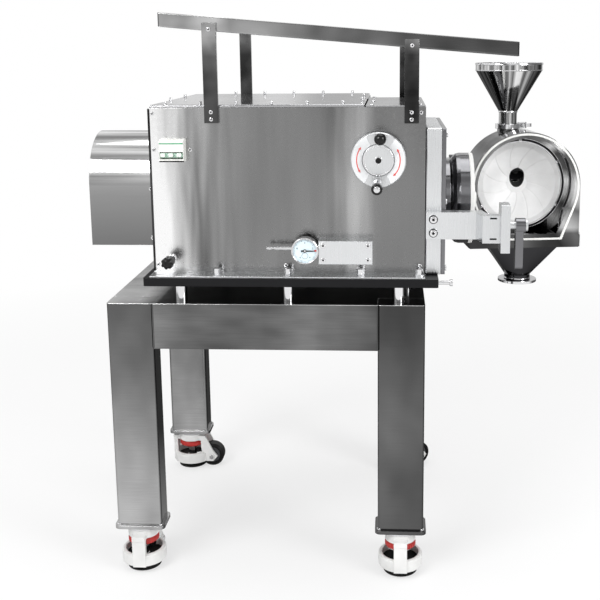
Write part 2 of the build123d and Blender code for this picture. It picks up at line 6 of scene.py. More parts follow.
import bmesh
import bpy
from bpy.props import FloatProperty, FloatVectorProperty, IntProperty, PointerProperty
from mathutils import Matrix, Vector


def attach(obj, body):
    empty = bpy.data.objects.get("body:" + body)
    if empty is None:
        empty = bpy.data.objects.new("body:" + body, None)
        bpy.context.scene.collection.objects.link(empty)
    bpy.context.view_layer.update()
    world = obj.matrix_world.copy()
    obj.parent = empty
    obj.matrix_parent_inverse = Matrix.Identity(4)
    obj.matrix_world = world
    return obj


bl_info = {
    "name": "Disc Mill Looks",
    "version": (1, 0, 0),
    "blender": (4, 5, 0),
    "location": "View3D > Sidebar > Disc Mill",
    "description": "Finishes and dressing for the disc mill",
    "category": "Object",
}

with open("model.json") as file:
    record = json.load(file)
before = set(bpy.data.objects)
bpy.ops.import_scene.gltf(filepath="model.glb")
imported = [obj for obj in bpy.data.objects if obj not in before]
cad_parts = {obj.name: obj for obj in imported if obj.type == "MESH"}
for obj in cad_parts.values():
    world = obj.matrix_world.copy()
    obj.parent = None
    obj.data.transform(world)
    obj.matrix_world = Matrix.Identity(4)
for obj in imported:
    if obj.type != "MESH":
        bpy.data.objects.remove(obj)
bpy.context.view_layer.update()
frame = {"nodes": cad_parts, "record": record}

# Sizes are in millimetres from the middle of the stand on the floor, with the chamber closed.
STAND = Vector((166.4699, -8.2417, 0.0))
HINGE = Vector((419.0, 104.0, 0.0))
AXIS = Vector((0.0, -70.0, 813.0))
OPEN_ANGLE = math.radians(97.0)
TO_FRAME = Matrix.Scale(0.001, 4) @ Matrix.Translation(-STAND)
SWUNG = (
    TO_FRAME
    @ Matrix.Translation(HINGE)
    @ Matrix.Rotation(OPEN_ANGLE, 4, "Z")
    @ Matrix.Translation(-HINGE)
)
TOWARDS_X = Matrix.Rotation(math.radians(90.0), 4, "Y")
TOWARDS_FRONT = Matrix.Rotation(math.radians(90.0), 4, "X")
FEED_ELBOW = Vector((498.0, -70.0, 846.5))
RAIL_TOP = 1228.4
RAIL_SLOPE = math.radians(5.08)
SHARP_ANGLE = math.radians(32.0)
WHITE = (1.0, 1.0, 1.0, 1.0)
STONE = (0.93, 0.93, 0.92)
PLAIN = (1.0, 1.0, 1.0)
GRAINS = {"X": (1.0, 40.0, 40.0), "Z": (40.0, 40.0, 1.0), "": (8.0, 8.0, 8.0)}

# Ramps of (place from 0 to 1, tone): the room by height, then the painted reflections and painted shade in
# the steel of each part
ROOM_BANDS = (
    (0.0, 0.6), (0.4, 0.95), (0.52, 0.9), (0.57, 0.9), (0.61, 0.5), (0.65, 0.95),
    (0.82, 1.0), (0.89, 0.5), (0.94, 0.45), (0.965, 1.0), (1.0, 0.35),
)
# Painted reflections across the cabinet front: bright at its left end, dark in the middle
FRONT_PAINTED_REFLECTIONS = (
    (0.0, 1.0), (0.07, 0.92), (0.13, 0.62), (0.18, 0.38), (0.24, 0.22), (0.33, 0.24),
    (0.66, 0.24), (0.71, 0.32), (0.76, 0.42), (0.82, 0.23), (1.0, 0.25),
)
# How deep the painted reflection streaks run across the cabinet front
FRONT_REFLECTION_STREAK_DEPTHS = (
    (0.0, 0.06), (0.09, 0.4), (0.17, 0.55), (0.26, 0.45), (0.32, 0.08),
    (0.62, 0.05), (0.7, 0.5), (0.78, 0.3), (0.84, 0.04),
)
# Painted reflections round the grinding chamber, by angle about the disc
HOUSING_PAINTED_REFLECTIONS = (
    (0.0, 0.35), (0.1, 0.15), (0.25, 0.16), (0.42, 0.28), (0.5, 0.12), (0.57, 0.2), (0.61, 0.75),
    (0.64, 0.12), (0.70, 0.15), (0.74, 0.7), (0.79, 0.6), (0.82, 0.15), (0.87, 0.5), (0.91, 0.1), (1.0, 0.35),
)
# Painted reflection on the motor cover, darker towards the bottom
COVER_PAINTED_REFLECTIONS = ((0.0, 0.2), (0.45, 0.3), (0.56, 0.36), (0.64, 0.8), (1.0, 0.8))
# Painted reflections up the legs, the left leg lighter than the right
LEFT_LEG_PAINTED_REFLECTIONS = ((0.0, 0.5), (0.3, 0.32), (0.6, 0.2), (1.0, 0.13))
RIGHT_LEG_PAINTED_REFLECTIONS = ((0.0, 0.1), (0.5, 0.13), (0.9, 0.08), (1.0, 0.07))
# Painted reflections along the stand rails, lighter at the left
STAND_RAIL_PAINTED_REFLECTIONS = ((0.0, 0.17), (0.5, 0.13), (0.72, 0.2), (0.85, 0.15), (1.0, 0.09))
# Painted reflections along the sloped top rails, lighter at the left
TOP_RAIL_PAINTED_REFLECTIONS = ((0.0, 0.5), (0.16, 0.6), (0.2, 0.3), (0.5, 0.22), (1.0, 0.1))
# Painted reflections up the upright bars, bright at the top
UPRIGHT_PAINTED_REFLECTIONS = ((0.0, 0.05), (0.45, 0.07), (0.65, 0.1), (0.8, 0.34), (1.0, 0.45))

# Place and turn of each caster
CASTERS = {
    "fl": (-290.0, -270.0, 0.0),
    "fr": (290.0, -270.0, 0.0),
    "rl": (-290.0, 270.0, -90.0),
    "rr": (290.0, 270.0, -60.0),
}


def colour_property(name, description, default):
    return FloatVectorProperty(name=name, description=description, subtype="COLOR", size=3, default=default)


class MillFinishSettings(bpy.types.PropertyGroup):
    """Colours of the mill's finishes."""

    sheet_grey: colour_property("Cabinet sheet", "Polished sheet steel", (0.46, 0.46, 0.47))
    chamber_grey: colour_property("Chamber steel", "Polished cast chamber", (0.50, 0.50, 0.51))
    alloy_grey: colour_property("Satin alloy", "Milled aluminium", (0.78, 0.79, 0.80))
    thumb_red: colour_property("Thumbwheel red", "Levelling thumbwheels", (0.50, 0.03, 0.025))
    mark_red: colour_property("Dial arrow red", "Arrows on the handwheel dial", (0.72, 0.10, 0.09))
    toggle_green: colour_property("Breaker green", "Breaker toggles and line", (0.05, 0.33, 0.16))
    dial_blue: colour_property("Gauge dial", "Face of the dial gauge", (0.70, 0.82, 0.88))


class MillSizeSettings(bpy.types.PropertyGroup):
    """Sizes of the mill's small parts."""

    screw_radius: FloatProperty(name="Panel screw radius", default=0.0042, min=0.001, max=0.02, unit="LENGTH")
    thumb_ribs: IntProperty(name="Thumbwheel ribs", default=28, min=6, max=80)
    knob_flutes: IntProperty(name="Lobes of the lock knob", default=7, min=5, max=40)
    gauge_ticks: IntProperty(name="Ticks of the gauge dial", default=50, min=10, max=100)
    rim_bolts: IntProperty(name="Bolts of the disc holder", default=6, min=3, max=24)


class MillStageSettings(bpy.types.PropertyGroup):
    """Camera and light."""

    lens: FloatProperty(name="Lens in millimetres", default=57.73, min=20.0, max=120.0)
    key_power: FloatProperty(name="Power of the key light", default=62.0, min=0.0, max=500.0)
    floor_tone: FloatProperty(name="How pale the floor is", default=0.86, min=0.0, max=1.0)


# Small mesh helpers


def link_mesh(name, bm, matrix):
    bm.normal_update()
    bmesh.ops.recalc_face_normals(bm, faces=bm.faces)
    bmesh.ops.transform(bm, matrix=matrix, verts=bm.verts)
    mesh = bpy.data.meshes.new(name)
    bm.to_mesh(mesh)
    bm.free()
    piece = bpy.data.objects.new(name, mesh)
    bpy.context.scene.collection.objects.link(piece)
    return piece


def turned(name, profile, matrix, steps=48, closed=True):
    """Solid turned about Z from (radius, height) points, then placed."""
    bm = bmesh.new()
    rings = []
    for radius, height in profile:
        if radius < 1e-6:
            rings.append([bm.verts.new((0.0, 0.0, height))])
            continue
        ring = []
        for k in range(steps):
            a = 2 * math.pi * k / steps
            ring.append(bm.verts.new((radius * math.cos(a), radius * math.sin(a), height)))
        rings.append(ring)
    pairs = list(zip(rings, rings[1:]))
    if closed:
        pairs.append((rings[-1], rings[0]))
    for a, b in pairs:
        for k in range(steps):
            n = (k + 1) % steps
            if len(a) == 1 and len(b) == 1:
                continue
            if len(a) == 1:
                bm.faces.new((a[0], b[k], b[n]))
            elif len(b) == 1:
                bm.faces.new((a[k], b[0], a[n]))
            else:
                bm.faces.new((a[k], b[k], b[n], a[n]))
    return link_mesh(name, bm, matrix)


def slab(name, low, high, matrix, bevel=0.8, segments=2):
    """Block with softened edges."""
    bm = bmesh.new()
    bmesh.ops.create_cube(bm, size=1.0)
    size = Vector(high) - Vector(low)
    middle = (Vector(high) + Vector(low)) / 2
    bmesh.ops.transform(bm, matrix=Matrix.Translation(middle) @ Matrix.Diagonal((*size, 1.0)), verts=bm.verts)
    if bevel > 0:
        bmesh.ops.bevel(bm, geom=list(bm.edges), offset=bevel, segments=segments, affect="EDGES", profile=0.5)
    return link_mesh(name, bm, matrix)


def flat_plate(name, outline, thickness, matrix):
    """Thin plate from a flat outline in XY, with its thickness along Z."""
    bm = bmesh.new()
    low = [bm.verts.new((x, y, 0.0)) for x, y in outline]
    high = [bm.verts.new((x, y, thickness)) for x, y in outline]
    count = len(outline)
    bm.faces.new(low)
    bm.faces.new(list(reversed(high)))
    for k in range(count):
        n = (k + 1) % count
        bm.faces.new((low[k], low[n], high[n], high[k]))
    return link_mesh(name, bm, matrix)


def arc_outline(inner, outer, start, end, steps=28):
    points = []
    for k in range(steps + 1):
        a = math.radians(start + (end - start) * k / steps)
        points.append((outer * math.cos(a), outer * math.sin(a)))
    for k in range(steps, -1, -1):
        a = math.radians(start + (end - start) * k / steps)
        points.append((inner * math.cos(a), inner * math.sin(a)))
    return points


def tube_along(name, points, radius, matrix, around=10, closed=False):
    """Bead or wire along points."""
    bm = bmesh.new()
    points = [Vector(p) for p in points]
    count = len(points)
    rings = []
    for k, p in enumerate(points):
        before = points[(k - 1) % count] if closed or k > 0 else p
        after = points[(k + 1) % count] if closed or k < count - 1 else p
        along = (after - before).normalized()
        if abs(along.z) < 0.9:
            side = along.cross(Vector((0, 0, 1))).normalized()
        else:
            side = along.cross(Vector((1, 0, 0))).normalized()
        other = along.cross(side)
        ring = []
        for j in range(around):
            a = 2 * math.pi * j / around
            ring.append(bm.verts.new(p + radius * (math.cos(a) * side + math.sin(a) * other)))
        rings.append(ring)
    pairs = list(zip(rings, rings[1:]))
    if closed:
        pairs.append((rings[-1], rings[0]))
    for a, b in pairs:
        for j in range(around):
            n = (j + 1) % around
            bm.faces.new((a[j], a[n], b[n], b[j]))
    if not closed:
        bm.faces.new(list(reversed(rings[0])))
        bm.faces.new(rings[-1])
    return link_mesh(name, bm, matrix)


def facing_front(x, y, z):
    """Matrix for a piece that is turned about Z, put at a place of the mill (mm) to face the front."""
    return TO_FRAME @ Matrix.Translation((x, y, z)) @ TOWARDS_FRONT


def settle(piece, body, finish):
    """Gives a finished piece its material, its shading and its body."""
    mesh = piece.data
    if finish is not None:
        mesh.materials.clear()
        mesh.materials.append(FINISHES[finish])
    mesh.polygons.foreach_set("use_smooth", [True] * len(mesh.polygons))
    mesh.set_sharp_from_angle(angle=SHARP_ANGLE)
    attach(piece, body)
    return piece


def lathe(name, profile, matrix, steps, body, finish, closed=True):
    """Turned piece with its finish and its body."""
    return settle(turned(name, profile, matrix, steps, closed), body, finish)


# Nodes


def add(tree, kind, inputs=None, **settings):
    """New node with its settings, and a value or a link for each named or numbered input."""
    node = tree.nodes.new(kind)
    for name, value in settings.items():
        setattr(node, name, value)
    for place, value in (inputs or {}).items():
        if isinstance(value, bpy.types.NodeSocket):
            tree.links.new(value, node.inputs[place])
        else:
            node.inputs[place].default_value = value
    return node


def joined(tree, kind, first, second):
    return add(tree, "ShaderNodeMath", {0: first, 1: second}, operation=kind).outputs[0]


def spread(tree, source, low, high, start=0.3, end=0.7):
    ends = {"Value": source, "From Min": start, "From Max": end, "To Min": low, "To Max": high}
    return add(tree, "ShaderNodeMapRange", ends).outputs["Result"]


def ramp(tree, source, stops):
    """Ramp with (position, tone) stops, a tone being a grey or a colour."""
    blend = add(tree, "ShaderNodeValToRGB", {"Fac": source})
    spots = blend.color_ramp.elements
    while len(spots) < len(stops):
        spots.new(0.5)
    for spot, (position, tone) in zip(spots, stops):
        spot.position = position
        spot.color = (*tone, 1.0) if isinstance(tone, tuple) else (tone, tone, tone, 1.0)
    return blend.outputs["Color"]


def where(tree, output="Object"):
    return add(tree, "ShaderNodeTexCoord").outputs[output]


def parts_of(tree, vector):
    return add(tree, "ShaderNodeSeparateXYZ", {"Vector": vector}).outputs


def noise_on(tree, scale, stretch=PLAIN, detail=4.0):
    place = add(tree, "ShaderNodeMapping", {"Scale": stretch, "Vector": where(tree)}).outputs["Vector"]
    settings = {"Scale": scale, "Detail": detail, "Vector": place}
    return add(tree, "ShaderNodeTexNoise", settings).outputs["Fac"]


# Finishes


def fresh_tree(owner):
    owner.use_nodes = True
    owner.node_tree.nodes.clear()
    return owner.node_tree


def new_finish(name):
    material = bpy.data.materials.new(name)
    tree = fresh_tree(material)
    shader = add(tree, "ShaderNodeBsdfPrincipled")
    add(tree, "ShaderNodeOutputMaterial", {"Surface": shader.outputs["BSDF"]})
    return material, tree, shader


def tint(tree, shader, source, dark, light):
    tree.links.new(ramp(tree, source, ((0.3, dark), (0.7, light))), shader.inputs["Base Color"])


def soft_edges(tree, shader, heights, radius=0.0012):
    """Rounded-looking edges and a stack of fine height patterns (source, distance, strength)."""
    normal = add(tree, "ShaderNodeBevel", {"Radius": radius}, samples=4).outputs["Normal"]
    for source, distance, strength in heights:
        marks = {"Distance": distance, "Strength": strength, "Height": source, "Normal": normal}
        normal = add(tree, "ShaderNodeBump", marks).outputs["Normal"]
    tree.links.new(normal, shader.inputs["Normal"])


def scaled(colour, factor):
    return tuple(min(1.0, c * factor) for c in colour)


def sheet_ripple(tree, wave):
    """Slight waviness of a sheet, as a height pattern."""
    return [(noise_on(tree, 3.2, (2.2, 1.0, 0.55), 1.0), wave, 1.0)] if wave > 0 else []


def brushed(name, colour, rough, grain, wave=0.0, edge=0.0012):
    """Metal with a fine grain along one axis and, if wanted, a slight waviness of the sheet."""
    material, tree, shader = new_finish(name)
    shader.inputs["Metallic"].default_value = 1.0
    fine = noise_on(tree, 14.0, GRAINS[grain], 3.0)
    cloud = noise_on(tree, 5.0, PLAIN, 3.0)
    tint(tree, shader, cloud, scaled(colour, 0.93), scaled(colour, 1.05))
    tree.links.new(spread(tree, fine, rough * 0.75, rough * 1.3), shader.inputs["Roughness"])
    soft_edges(tree, shader, [(fine, 0.0002, 0.12)] + sheet_ripple(tree, wave), edge)
    return material


def along(tree, axis, low, high):
    """Runs from 0 to 1 between two places (mm) along an axis of the mill."""
    middle = STAND["XYZ".index(axis)]
    place = parts_of(tree, where(tree))[axis]
    return spread(tree, place, 0.0, 1.0, (low - middle) / 1000, (high - middle) / 1000)


def reflecting(name, rough, tones, swell_scale, stretch, swell, grain, wave=0.0, marks=0.02):
    """Polished sheet or tube whose grey follows tones of painted reflection and painted shade, swelled by
    soft streaks of painted reflection.
    """
    material, tree, shader = new_finish(name)
    shader.inputs["Metallic"].default_value = 1.0
    streak = noise_on(tree, swell_scale, stretch, 2.0)
    swells = spread(tree, streak, 1.0 - swell, 1.0 + swell, 0.32, 0.68)
    fine = noise_on(tree, 14.0, grain, 3.0)
    level = joined(tree, "MULTIPLY", tones(tree), swells)
    level = joined(tree, "MULTIPLY", level, spread(tree, fine, 1.0 - marks, 1.0 + marks))
    tree.links.new(level, shader.inputs["Base Color"])
    tree.links.new(spread(tree, fine, rough * 0.75, rough * 1.3), shader.inputs["Roughness"])
    soft_edges(tree, shader, [(fine, 0.0002, 0.1)] + sheet_ripple(tree, wave), 0.0016)
    return material


def front_painted_reflections(tree):
    # Painted reflections on the cabinet front: grey by place from left to right, with painted reflection
    # streaks
    across = along(tree, "X", -250.0, 340.0)
    streak = noise_on(tree, 26.0, (1.0, 1.0, 0.08), 2.0)
    swing = spread(tree, streak, -1.0, 1.0, 0.32, 0.68)
    deep = joined(tree, "MULTIPLY", swing, ramp(tree, across, FRONT_REFLECTION_STREAK_DEPTHS))
    return joined(tree, "MULTIPLY", ramp(tree, across, FRONT_PAINTED_REFLECTIONS), joined(tree, "ADD", deep, 1.0))


def cover_painted_reflections(tree):
    # Painted reflection, darker towards the bottom of the cover
    return ramp(tree, along(tree, "Z", 723.0, 969.0), COVER_PAINTED_REFLECTIONS)


def right_side_shade(tree):
    """Painted shade, dark where a face looks to the right, as the tubes' inner sides are."""
    return spread(tree, parts_of(tree, where(tree, "Normal"))["X"], 1.0, 0.12, 0.5, 0.9)


def top_face_painted_highlight(tree):
    """Painted highlight on the stand's top, bright left of the base plate and along its front edge; under the
    plate it adds none, so that part keeps the darker painted reflections.
    """
    open_end_highlight = spread(tree, along(tree, "X", -275.0, -235.0), 0.9, 0.1, 0.0, 1.0)
    front_edge_highlight = joined(tree, "MULTIPLY", along(tree, "Y", -296.5, -298.5), 0.85)
    bright = joined(tree, "MAXIMUM", open_end_highlight, front_edge_highlight)
    return joined(tree, "MULTIPLY", along(tree, "Z", 618.6, 619.6), bright)


def leg_painted_reflections(tree):
    # Painted reflections up each leg, lighter on the left, times painted shade on right-facing sides, with
    # the painted highlight of the top face
    climb = along(tree, "Z", 110.0, 620.0)
    side = along(tree, "X", -60.0, 60.0)
    left = joined(tree, "MULTIPLY", ramp(tree, climb, LEFT_LEG_PAINTED_REFLECTIONS), joined(tree, "SUBTRACT", 1.0, side))
    right = joined(tree, "MULTIPLY", ramp(tree, climb, RIGHT_LEG_PAINTED_REFLECTIONS), side)
    shade = joined(tree, "MAXIMUM", right_side_shade(tree), along(tree, "Z", 512.0, 522.0))
    level = joined(tree, "MULTIPLY", joined(tree, "ADD", left, right), shade)
    return joined(tree, "MAXIMUM", level, top_face_painted_highlight(tree))


def stand_rail_painted_reflections(tree):
    # Painted reflections along the rail, with the painted highlight of the top face
    level = ramp(tree, along(tree, "X", -240.0, 240.0), STAND_RAIL_PAINTED_REFLECTIONS)
    return joined(tree, "MAXIMUM", level, top_face_painted_highlight(tree))


def spun_painted_reflections(tree):
    """Painted reflections: dark and bright streaks down a spun cone, told by the angle round the hopper's
    middle.
    """
    middle = SWUNG @ Vector((498, -48, 0))
    place = parts_of(tree, where(tree))
    sideways = joined(tree, "SUBTRACT", place["X"], float(middle.x))
    inwards = joined(tree, "SUBTRACT", place["Y"], float(middle.y))
    angle = joined(tree, "ARCTAN2", sideways, inwards)
    settings = {"Scale": 2.6, "Detail": 3.0, "W": angle}
    streaks = add(tree, "ShaderNodeTexNoise", settings, noise_dimensions="1D").outputs["Fac"]
    return spread(tree, streaks, 0.03, 0.95, 0.4, 0.6)


def from_chamber(tree, point):
    """Vector from a point of the swung chamber (mm, closed position) to where the shader is."""
    ends = {0: where(tree), 1: SWUNG @ Vector(point)}
    return add(tree, "ShaderNodeVectorMath", ends, operation="SUBTRACT").outputs["Vector"]


def swung_way(way):
    return (SWUNG.to_3x3() @ Vector(way)).normalized()


def housing_painted_reflections(tree):
    """Painted reflections, dark and bright, round the grinding chamber, and painted shade near black along
    its lower edge.
    """
    away = from_chamber(tree, AXIS + Vector((480.0, 0.0, 0.0)))
    ends = {0: away, 1: swung_way((0.0, -1.0, 0.0))}
    sideways = add(tree, "ShaderNodeVectorMath", ends, operation="DOT_PRODUCT").outputs["Value"]
    angle = joined(tree, "ARCTAN2", sideways, parts_of(tree, away)["Z"])
    level = ramp(tree, spread(tree, angle, 0.0, 1.0, -math.pi, math.pi), HOUSING_PAINTED_REFLECTIONS)
    low_edge_shade = spread(tree, along(tree, "Z", 698.0, 712.0), 0.25, 1.0, 0.0, 1.0)
    return joined(tree, "MULTIPLY", level, low_edge_shade)


def feed_hole_shade(tree):
    """Painted shade, near black inside the slanting feed hole, 1 outside it."""
    ends = {0: from_chamber(tree, FEED_ELBOW), 1: swung_way((1.0, 0.0, 1.0))}
    across = add(tree, "ShaderNodeVectorMath", ends, operation="CROSS_PRODUCT").outputs["Vector"]
    away = add(tree, "ShaderNodeVectorMath", {0: across}, operation="LENGTH").outputs["Value"]
    return spread(tree, away, 0.03, 1.0, 0.0191, 0.0194)


def top_rail_painted_reflections(tree):
    # Painted reflections, lighter at the rail's left end
    return ramp(tree, along(tree, "X", -218.0, 528.0), TOP_RAIL_PAINTED_REFLECTIONS)


def upright_painted_reflections(tree):
    # Painted reflections, brighter towards the top of the bar
    return ramp(tree, along(tree, "Z", 990.0, 1215.0), UPRIGHT_PAINTED_REFLECTIONS)


def moulded(name, colour, rough, grain_scale=900.0, strength=0.15, specular=0.5):
    material, tree, shader = new_finish(name)
    shader.inputs["Specular IOR Level"].default_value = specular
    fine = noise_on(tree, grain_scale, PLAIN, 3.0)
    cloud = noise_on(tree, 12.0, PLAIN, 3.0)
    tint(tree, shader, cloud, scaled(colour, 0.9), scaled(colour, 1.08))
    tree.links.new(spread(tree, fine, rough * 0.85, rough * 1.15), shader.inputs["Roughness"])
    soft_edges(tree, shader, [(fine, 0.0002, strength)])
    return material


def ground_ceramic(name, colour, bored=False):
    """Fine ground ceramic with dark specks, with painted shade near black in the feed hole if bored."""
    material, tree, shader = new_finish(name)
    speck = noise_on(tree, 420.0, PLAIN, 6.0)
    cloud = noise_on(tree, 16.0, PLAIN, 4.0)
    if bored:
        level = spread(tree, cloud, colour[0] * 0.88, min(1.0, colour[0] * 1.06))
        tree.links.new(joined(tree, "MULTIPLY", level, feed_hole_shade(tree)), shader.inputs["Base Color"])
    else:
        tint(tree, shader, cloud, scaled(colour, 0.88), scaled(colour, 1.06))
    tree.links.new(spread(tree, speck, 0.32, 0.5), shader.inputs["Roughness"])
    soft_edges(tree, shader, [(speck, 0.0003, 0.25)], 0.0008)
    return material


FINISHES = {}


def build_finishes():
    look = bpy.context.scene.mill_finish
    chamber = tuple(look.chamber_grey)
    across = (1.0, 40.0, 40.0)
    tube = (1.0, 60.0, 60.0)
    even = (8.0, 8.0, 8.0)
    cloudy = (9.0, 9.0, 9.0)
    # The tone functions of these steels paint reflections and shade into their base colours
    for key, label, *rest in (
        ("stand_steel", "Stand tube", 0.14, leg_painted_reflections, 9.0, (1.0, 1.0, 0.6), 0.25, tube, 0.0012, 0.06),
        ("rail_steel", "Stand rail", 0.13, stand_rail_painted_reflections, 9.0, (0.7, 1.0, 1.4), 0.4, across, 0.0012, 0.08),
        ("cabinet_front", "Cabinet front", 0.23, front_painted_reflections, 5.0, (1.6, 1.0, 0.5), 0.1, cloudy, 0.0022),
        ("cover_sheet", "Motor cover sheet", 0.1, cover_painted_reflections, 4.0, (0.3, 1.0, 1.0), 0.08, across),
        ("satin_steel", "Upright bar", 0.16, upright_painted_reflections, 16.0, (1.0, 1.0, 0.8), 0.6, across),
        ("top_rail", "Top rail", 0.12, top_rail_painted_reflections, 9.0, (0.8, 1.0, 1.0), 0.45, across, 0.001),
        ("housing_steel", "Housing steel", 0.09, housing_painted_reflections, 11.0, (1.0, 1.0, 0.6), 0.45, even),
        ("spun_steel", "Spun hopper steel", 0.09, spun_painted_reflections, 5.0, PLAIN, 0.1, even),
    ):
        FINISHES[key] = reflecting(label, *rest)
    for key, label, *rest in (
        ("polished_steel", "Polished steel", (0.80, 0.80, 0.81), 0.1, ""),
        ("cabinet_steel", "Cabinet sheet", tuple(look.sheet_grey), 0.14, "X", 0.0014, 0.002),
        ("dark_steel", "Dark polished steel", (0.22, 0.22, 0.23), 0.14, ""),
        ("satin_aluminium", "Satin aluminium", tuple(look.alloy_grey), 0.3, "Z"),
        ("chamber_steel", "Chamber steel", chamber, 0.1, ""),
        ("holder_steel", "Holder steel", scaled(chamber, 0.25), 0.08, ""),
        ("cone_steel", "Outlet cone steel", (0.05, 0.05, 0.053), 0.12, ""),
    ):
        FINISHES[key] = brushed(label, *rest)
    for key, label, *rest in (
        ("black_coat", "Black coated plate", (0.006, 0.006, 0.007), 0.35, 500.0, 0.1, 0.2),
        ("dark_coat", "Wheel hub coat", (0.05, 0.05, 0.055), 0.3, 700.0, 0.1),
        ("motor_grey", "Motor paint", (0.16, 0.18, 0.2), 0.45),
        ("cast_grey", "Casting", (0.22, 0.22, 0.23), 0.5),
        ("white_seal", "White seal", (0.84, 0.84, 0.82), 0.5),
        ("breaker_plastic", "Breaker shell", (0.80, 0.80, 0.77), 0.42),
        ("green_plastic", "Breaker green", tuple(look.toggle_green), 0.4),
        ("toggle_pale", "Toggle sides", (0.42, 0.58, 0.48), 0.4),
        ("black_plastic", "Black knob", (0.004, 0.004, 0.004), 0.22, 900.0, 0.04, 0.35),
        ("dial_blue", "Gauge dial face", tuple(look.dial_blue), 0.4, 900.0, 0.05),
        ("caster_white", "Caster white", (0.78, 0.78, 0.77), 0.35, 400.0, 0.2),
        ("wheel_black", "Caster wheel", (0.006, 0.006, 0.006), 0.42, 900.0, 0.15, 0.25),
        ("leveller_red", "Thumbwheel red", tuple(look.thumb_red), 0.38),
        ("rubber", "Pad rubber", (0.006, 0.006, 0.006), 0.6, 500.0, 0.4, 0.2),
        ("label_white", "Dial white", (0.74, 0.75, 0.76), 0.35, 900.0, 0.03),
        ("mark_red", "Dial arrow red", tuple(look.mark_red), 0.4, 900.0, 0.03),
        ("ink", "Dial ink", (0.008, 0.008, 0.009), 0.5, 900.0, 0.03, 0.2),
    ):
        FINISHES[key] = moulded(label, *rest)
    FINISHES["white_ceramic"] = ground_ceramic("White ceramic", (0.84, 0.84, 0.82))
    FINISHES["stone_disc"] = ground_ceramic("Grinding stone", STONE)
    FINISHES["bored_stone"] = ground_ceramic("Grinding stone with feed hole", STONE, True)


OWN_FINISH = {
    "stand_rails": "rail_steel",
    "cabinet_shell": "cabinet_front",
    "sloped_rails": "top_rail",
    "rail_ties": "top_rail",
    "breaker_toggles": "toggle_pale",
    "motor_cover": "cover_sheet",
    "cabinet_flange": "satin_aluminium",
    "latch_lever": "dark_steel",
    "outlet": "cone_steel",
    "hopper": "spun_steel",
    "chamber_housing": "housing_steel",
    "disc_holder": "holder_steel",
    "fixed_disc": "bored_stone",
}


def finish_for(node, slot):
    return FINISHES[OWN_FINISH.get(node, slot)]


# Repeated small parts


def new_group(name, inputs):
    """Geometry node tree that takes points and named inputs: tree, input identifiers, input sockets."""
    tree = bpy.data.node_groups.new(name, "GeometryNodeTree")
    tree.interface.new_socket("Points", in_out="INPUT", socket_type="NodeSocketGeometry")
    sockets = {}
    for label, kind in inputs:
        socket = tree.interface.new_socket(label, in_out="INPUT", socket_type="NodeSocket" + kind)
        sockets[label] = socket.identifier
    tree.interface.new_socket("Pieces", in_out="OUTPUT", socket_type="NodeSocketGeometry")
    return tree, sockets, add(tree, "NodeGroupInput").outputs


def placed(tree, points, piece, turn, material):
    """A piece on every point, made real and given its material."""
    put = add(tree, "GeometryNodeInstanceOnPoints", {"Points": points, "Instance": piece, "Rotation": turn})
    real = add(tree, "GeometryNodeRealizeInstances", {"Geometry": put.outputs["Instances"]})
    paint = {"Geometry": real.outputs["Geometry"], "Material": material}
    return add(tree, "GeometryNodeSetMaterial", paint).outputs["Geometry"]


def scatter_tree(name, parts):
    """Node tree that puts turned heads on every vertex of its input, facing one way.

    parts is a list of (material, radius input, height input, lift input, sides).
    """
    labels = sorted({label for part in parts for label in part[1:4]})
    tree, sockets, source = new_group(name, [("Facing", "Vector")] + [(label, "Float") for label in labels])
    join = add(tree, "GeometryNodeJoinGeometry")
    for material, radius, height, lift, sides in parts:
        sizes = {"Vertices": sides, "Radius": source[radius], "Depth": source[height]}
        head = add(tree, "GeometryNodeMeshCylinder", sizes).outputs["Mesh"]
        up = add(tree, "ShaderNodeCombineXYZ", {"Z": source[lift]}).outputs["Vector"]
        lifted = add(tree, "GeometryNodeTransform", {"Geometry": head, "Translation": up})
        heads = placed(tree, source["Points"], lifted.outputs["Geometry"], source["Facing"], material)
        tree.links.new(heads, join.inputs["Geometry"])
    add(tree, "NodeGroupOutput", {"Pieces": join.outputs["Geometry"]})
    return tree, sockets


def ring_tree(name, material):
    """Node tree: blocks stood round a circle about Z, each turned to face outwards."""
    tree, sockets, source = new_group(name, (("Count", "Int"), ("Radius", "Float"), ("Size", "Vector")))
    circle = add(tree, "GeometryNodeMeshCircle", {"Vertices": source["Count"], "Radius": source["Radius"]})
    block = add(tree, "GeometryNodeMeshCube", {"Size": source["Size"]})
    index = add(tree, "GeometryNodeInputIndex").outputs["Index"]
    angle = joined(tree, "MULTIPLY", index, joined(tree, "DIVIDE", 2 * math.pi, source["Count"]))
    about = add(tree, "ShaderNodeCombineXYZ", {"Z": angle}).outputs["Vector"]
    blocks = placed(tree, circle.outputs["Mesh"], block.outputs["Mesh"], about, material)
    add(tree, "NodeGroupOutput", {"Pieces": blocks})
    return tree, sockets


def grown(name, tree, sockets, values, points, bevel=0.0):
    """Runs a tree on points (metres) and returns a plain mesh object."""
    seeds = bpy.data.meshes.new(name + "_points")
    seeds.from_pydata([tuple(p) for p in points], [], [])
    holder = bpy.data.objects.new(name + "_holder", seeds)
    bpy.context.scene.collection.objects.link(holder)
    modifier = holder.modifiers.new("Grow", "NODES")
    modifier.node_group = tree
    for label, value in values.items():
        modifier[sockets[label]] = value
    if bevel > 0:
        soften = holder.modifiers.new("Soften", "BEVEL")
        soften.width = bevel
        soften.segments = 2
        soften.limit_method = "ANGLE"
    bpy.context.view_layer.update()
    evaluated = holder.evaluated_get(bpy.context.evaluated_depsgraph_get())
    mesh = bpy.data.meshes.new_from_object(evaluated)
    mesh.name = name
    piece = bpy.data.objects.new(name, mesh)
    bpy.context.scene.collection.objects.link(piece)
    bpy.data.objects.remove(holder)
    bpy.data.meshes.remove(seeds)
    return piece


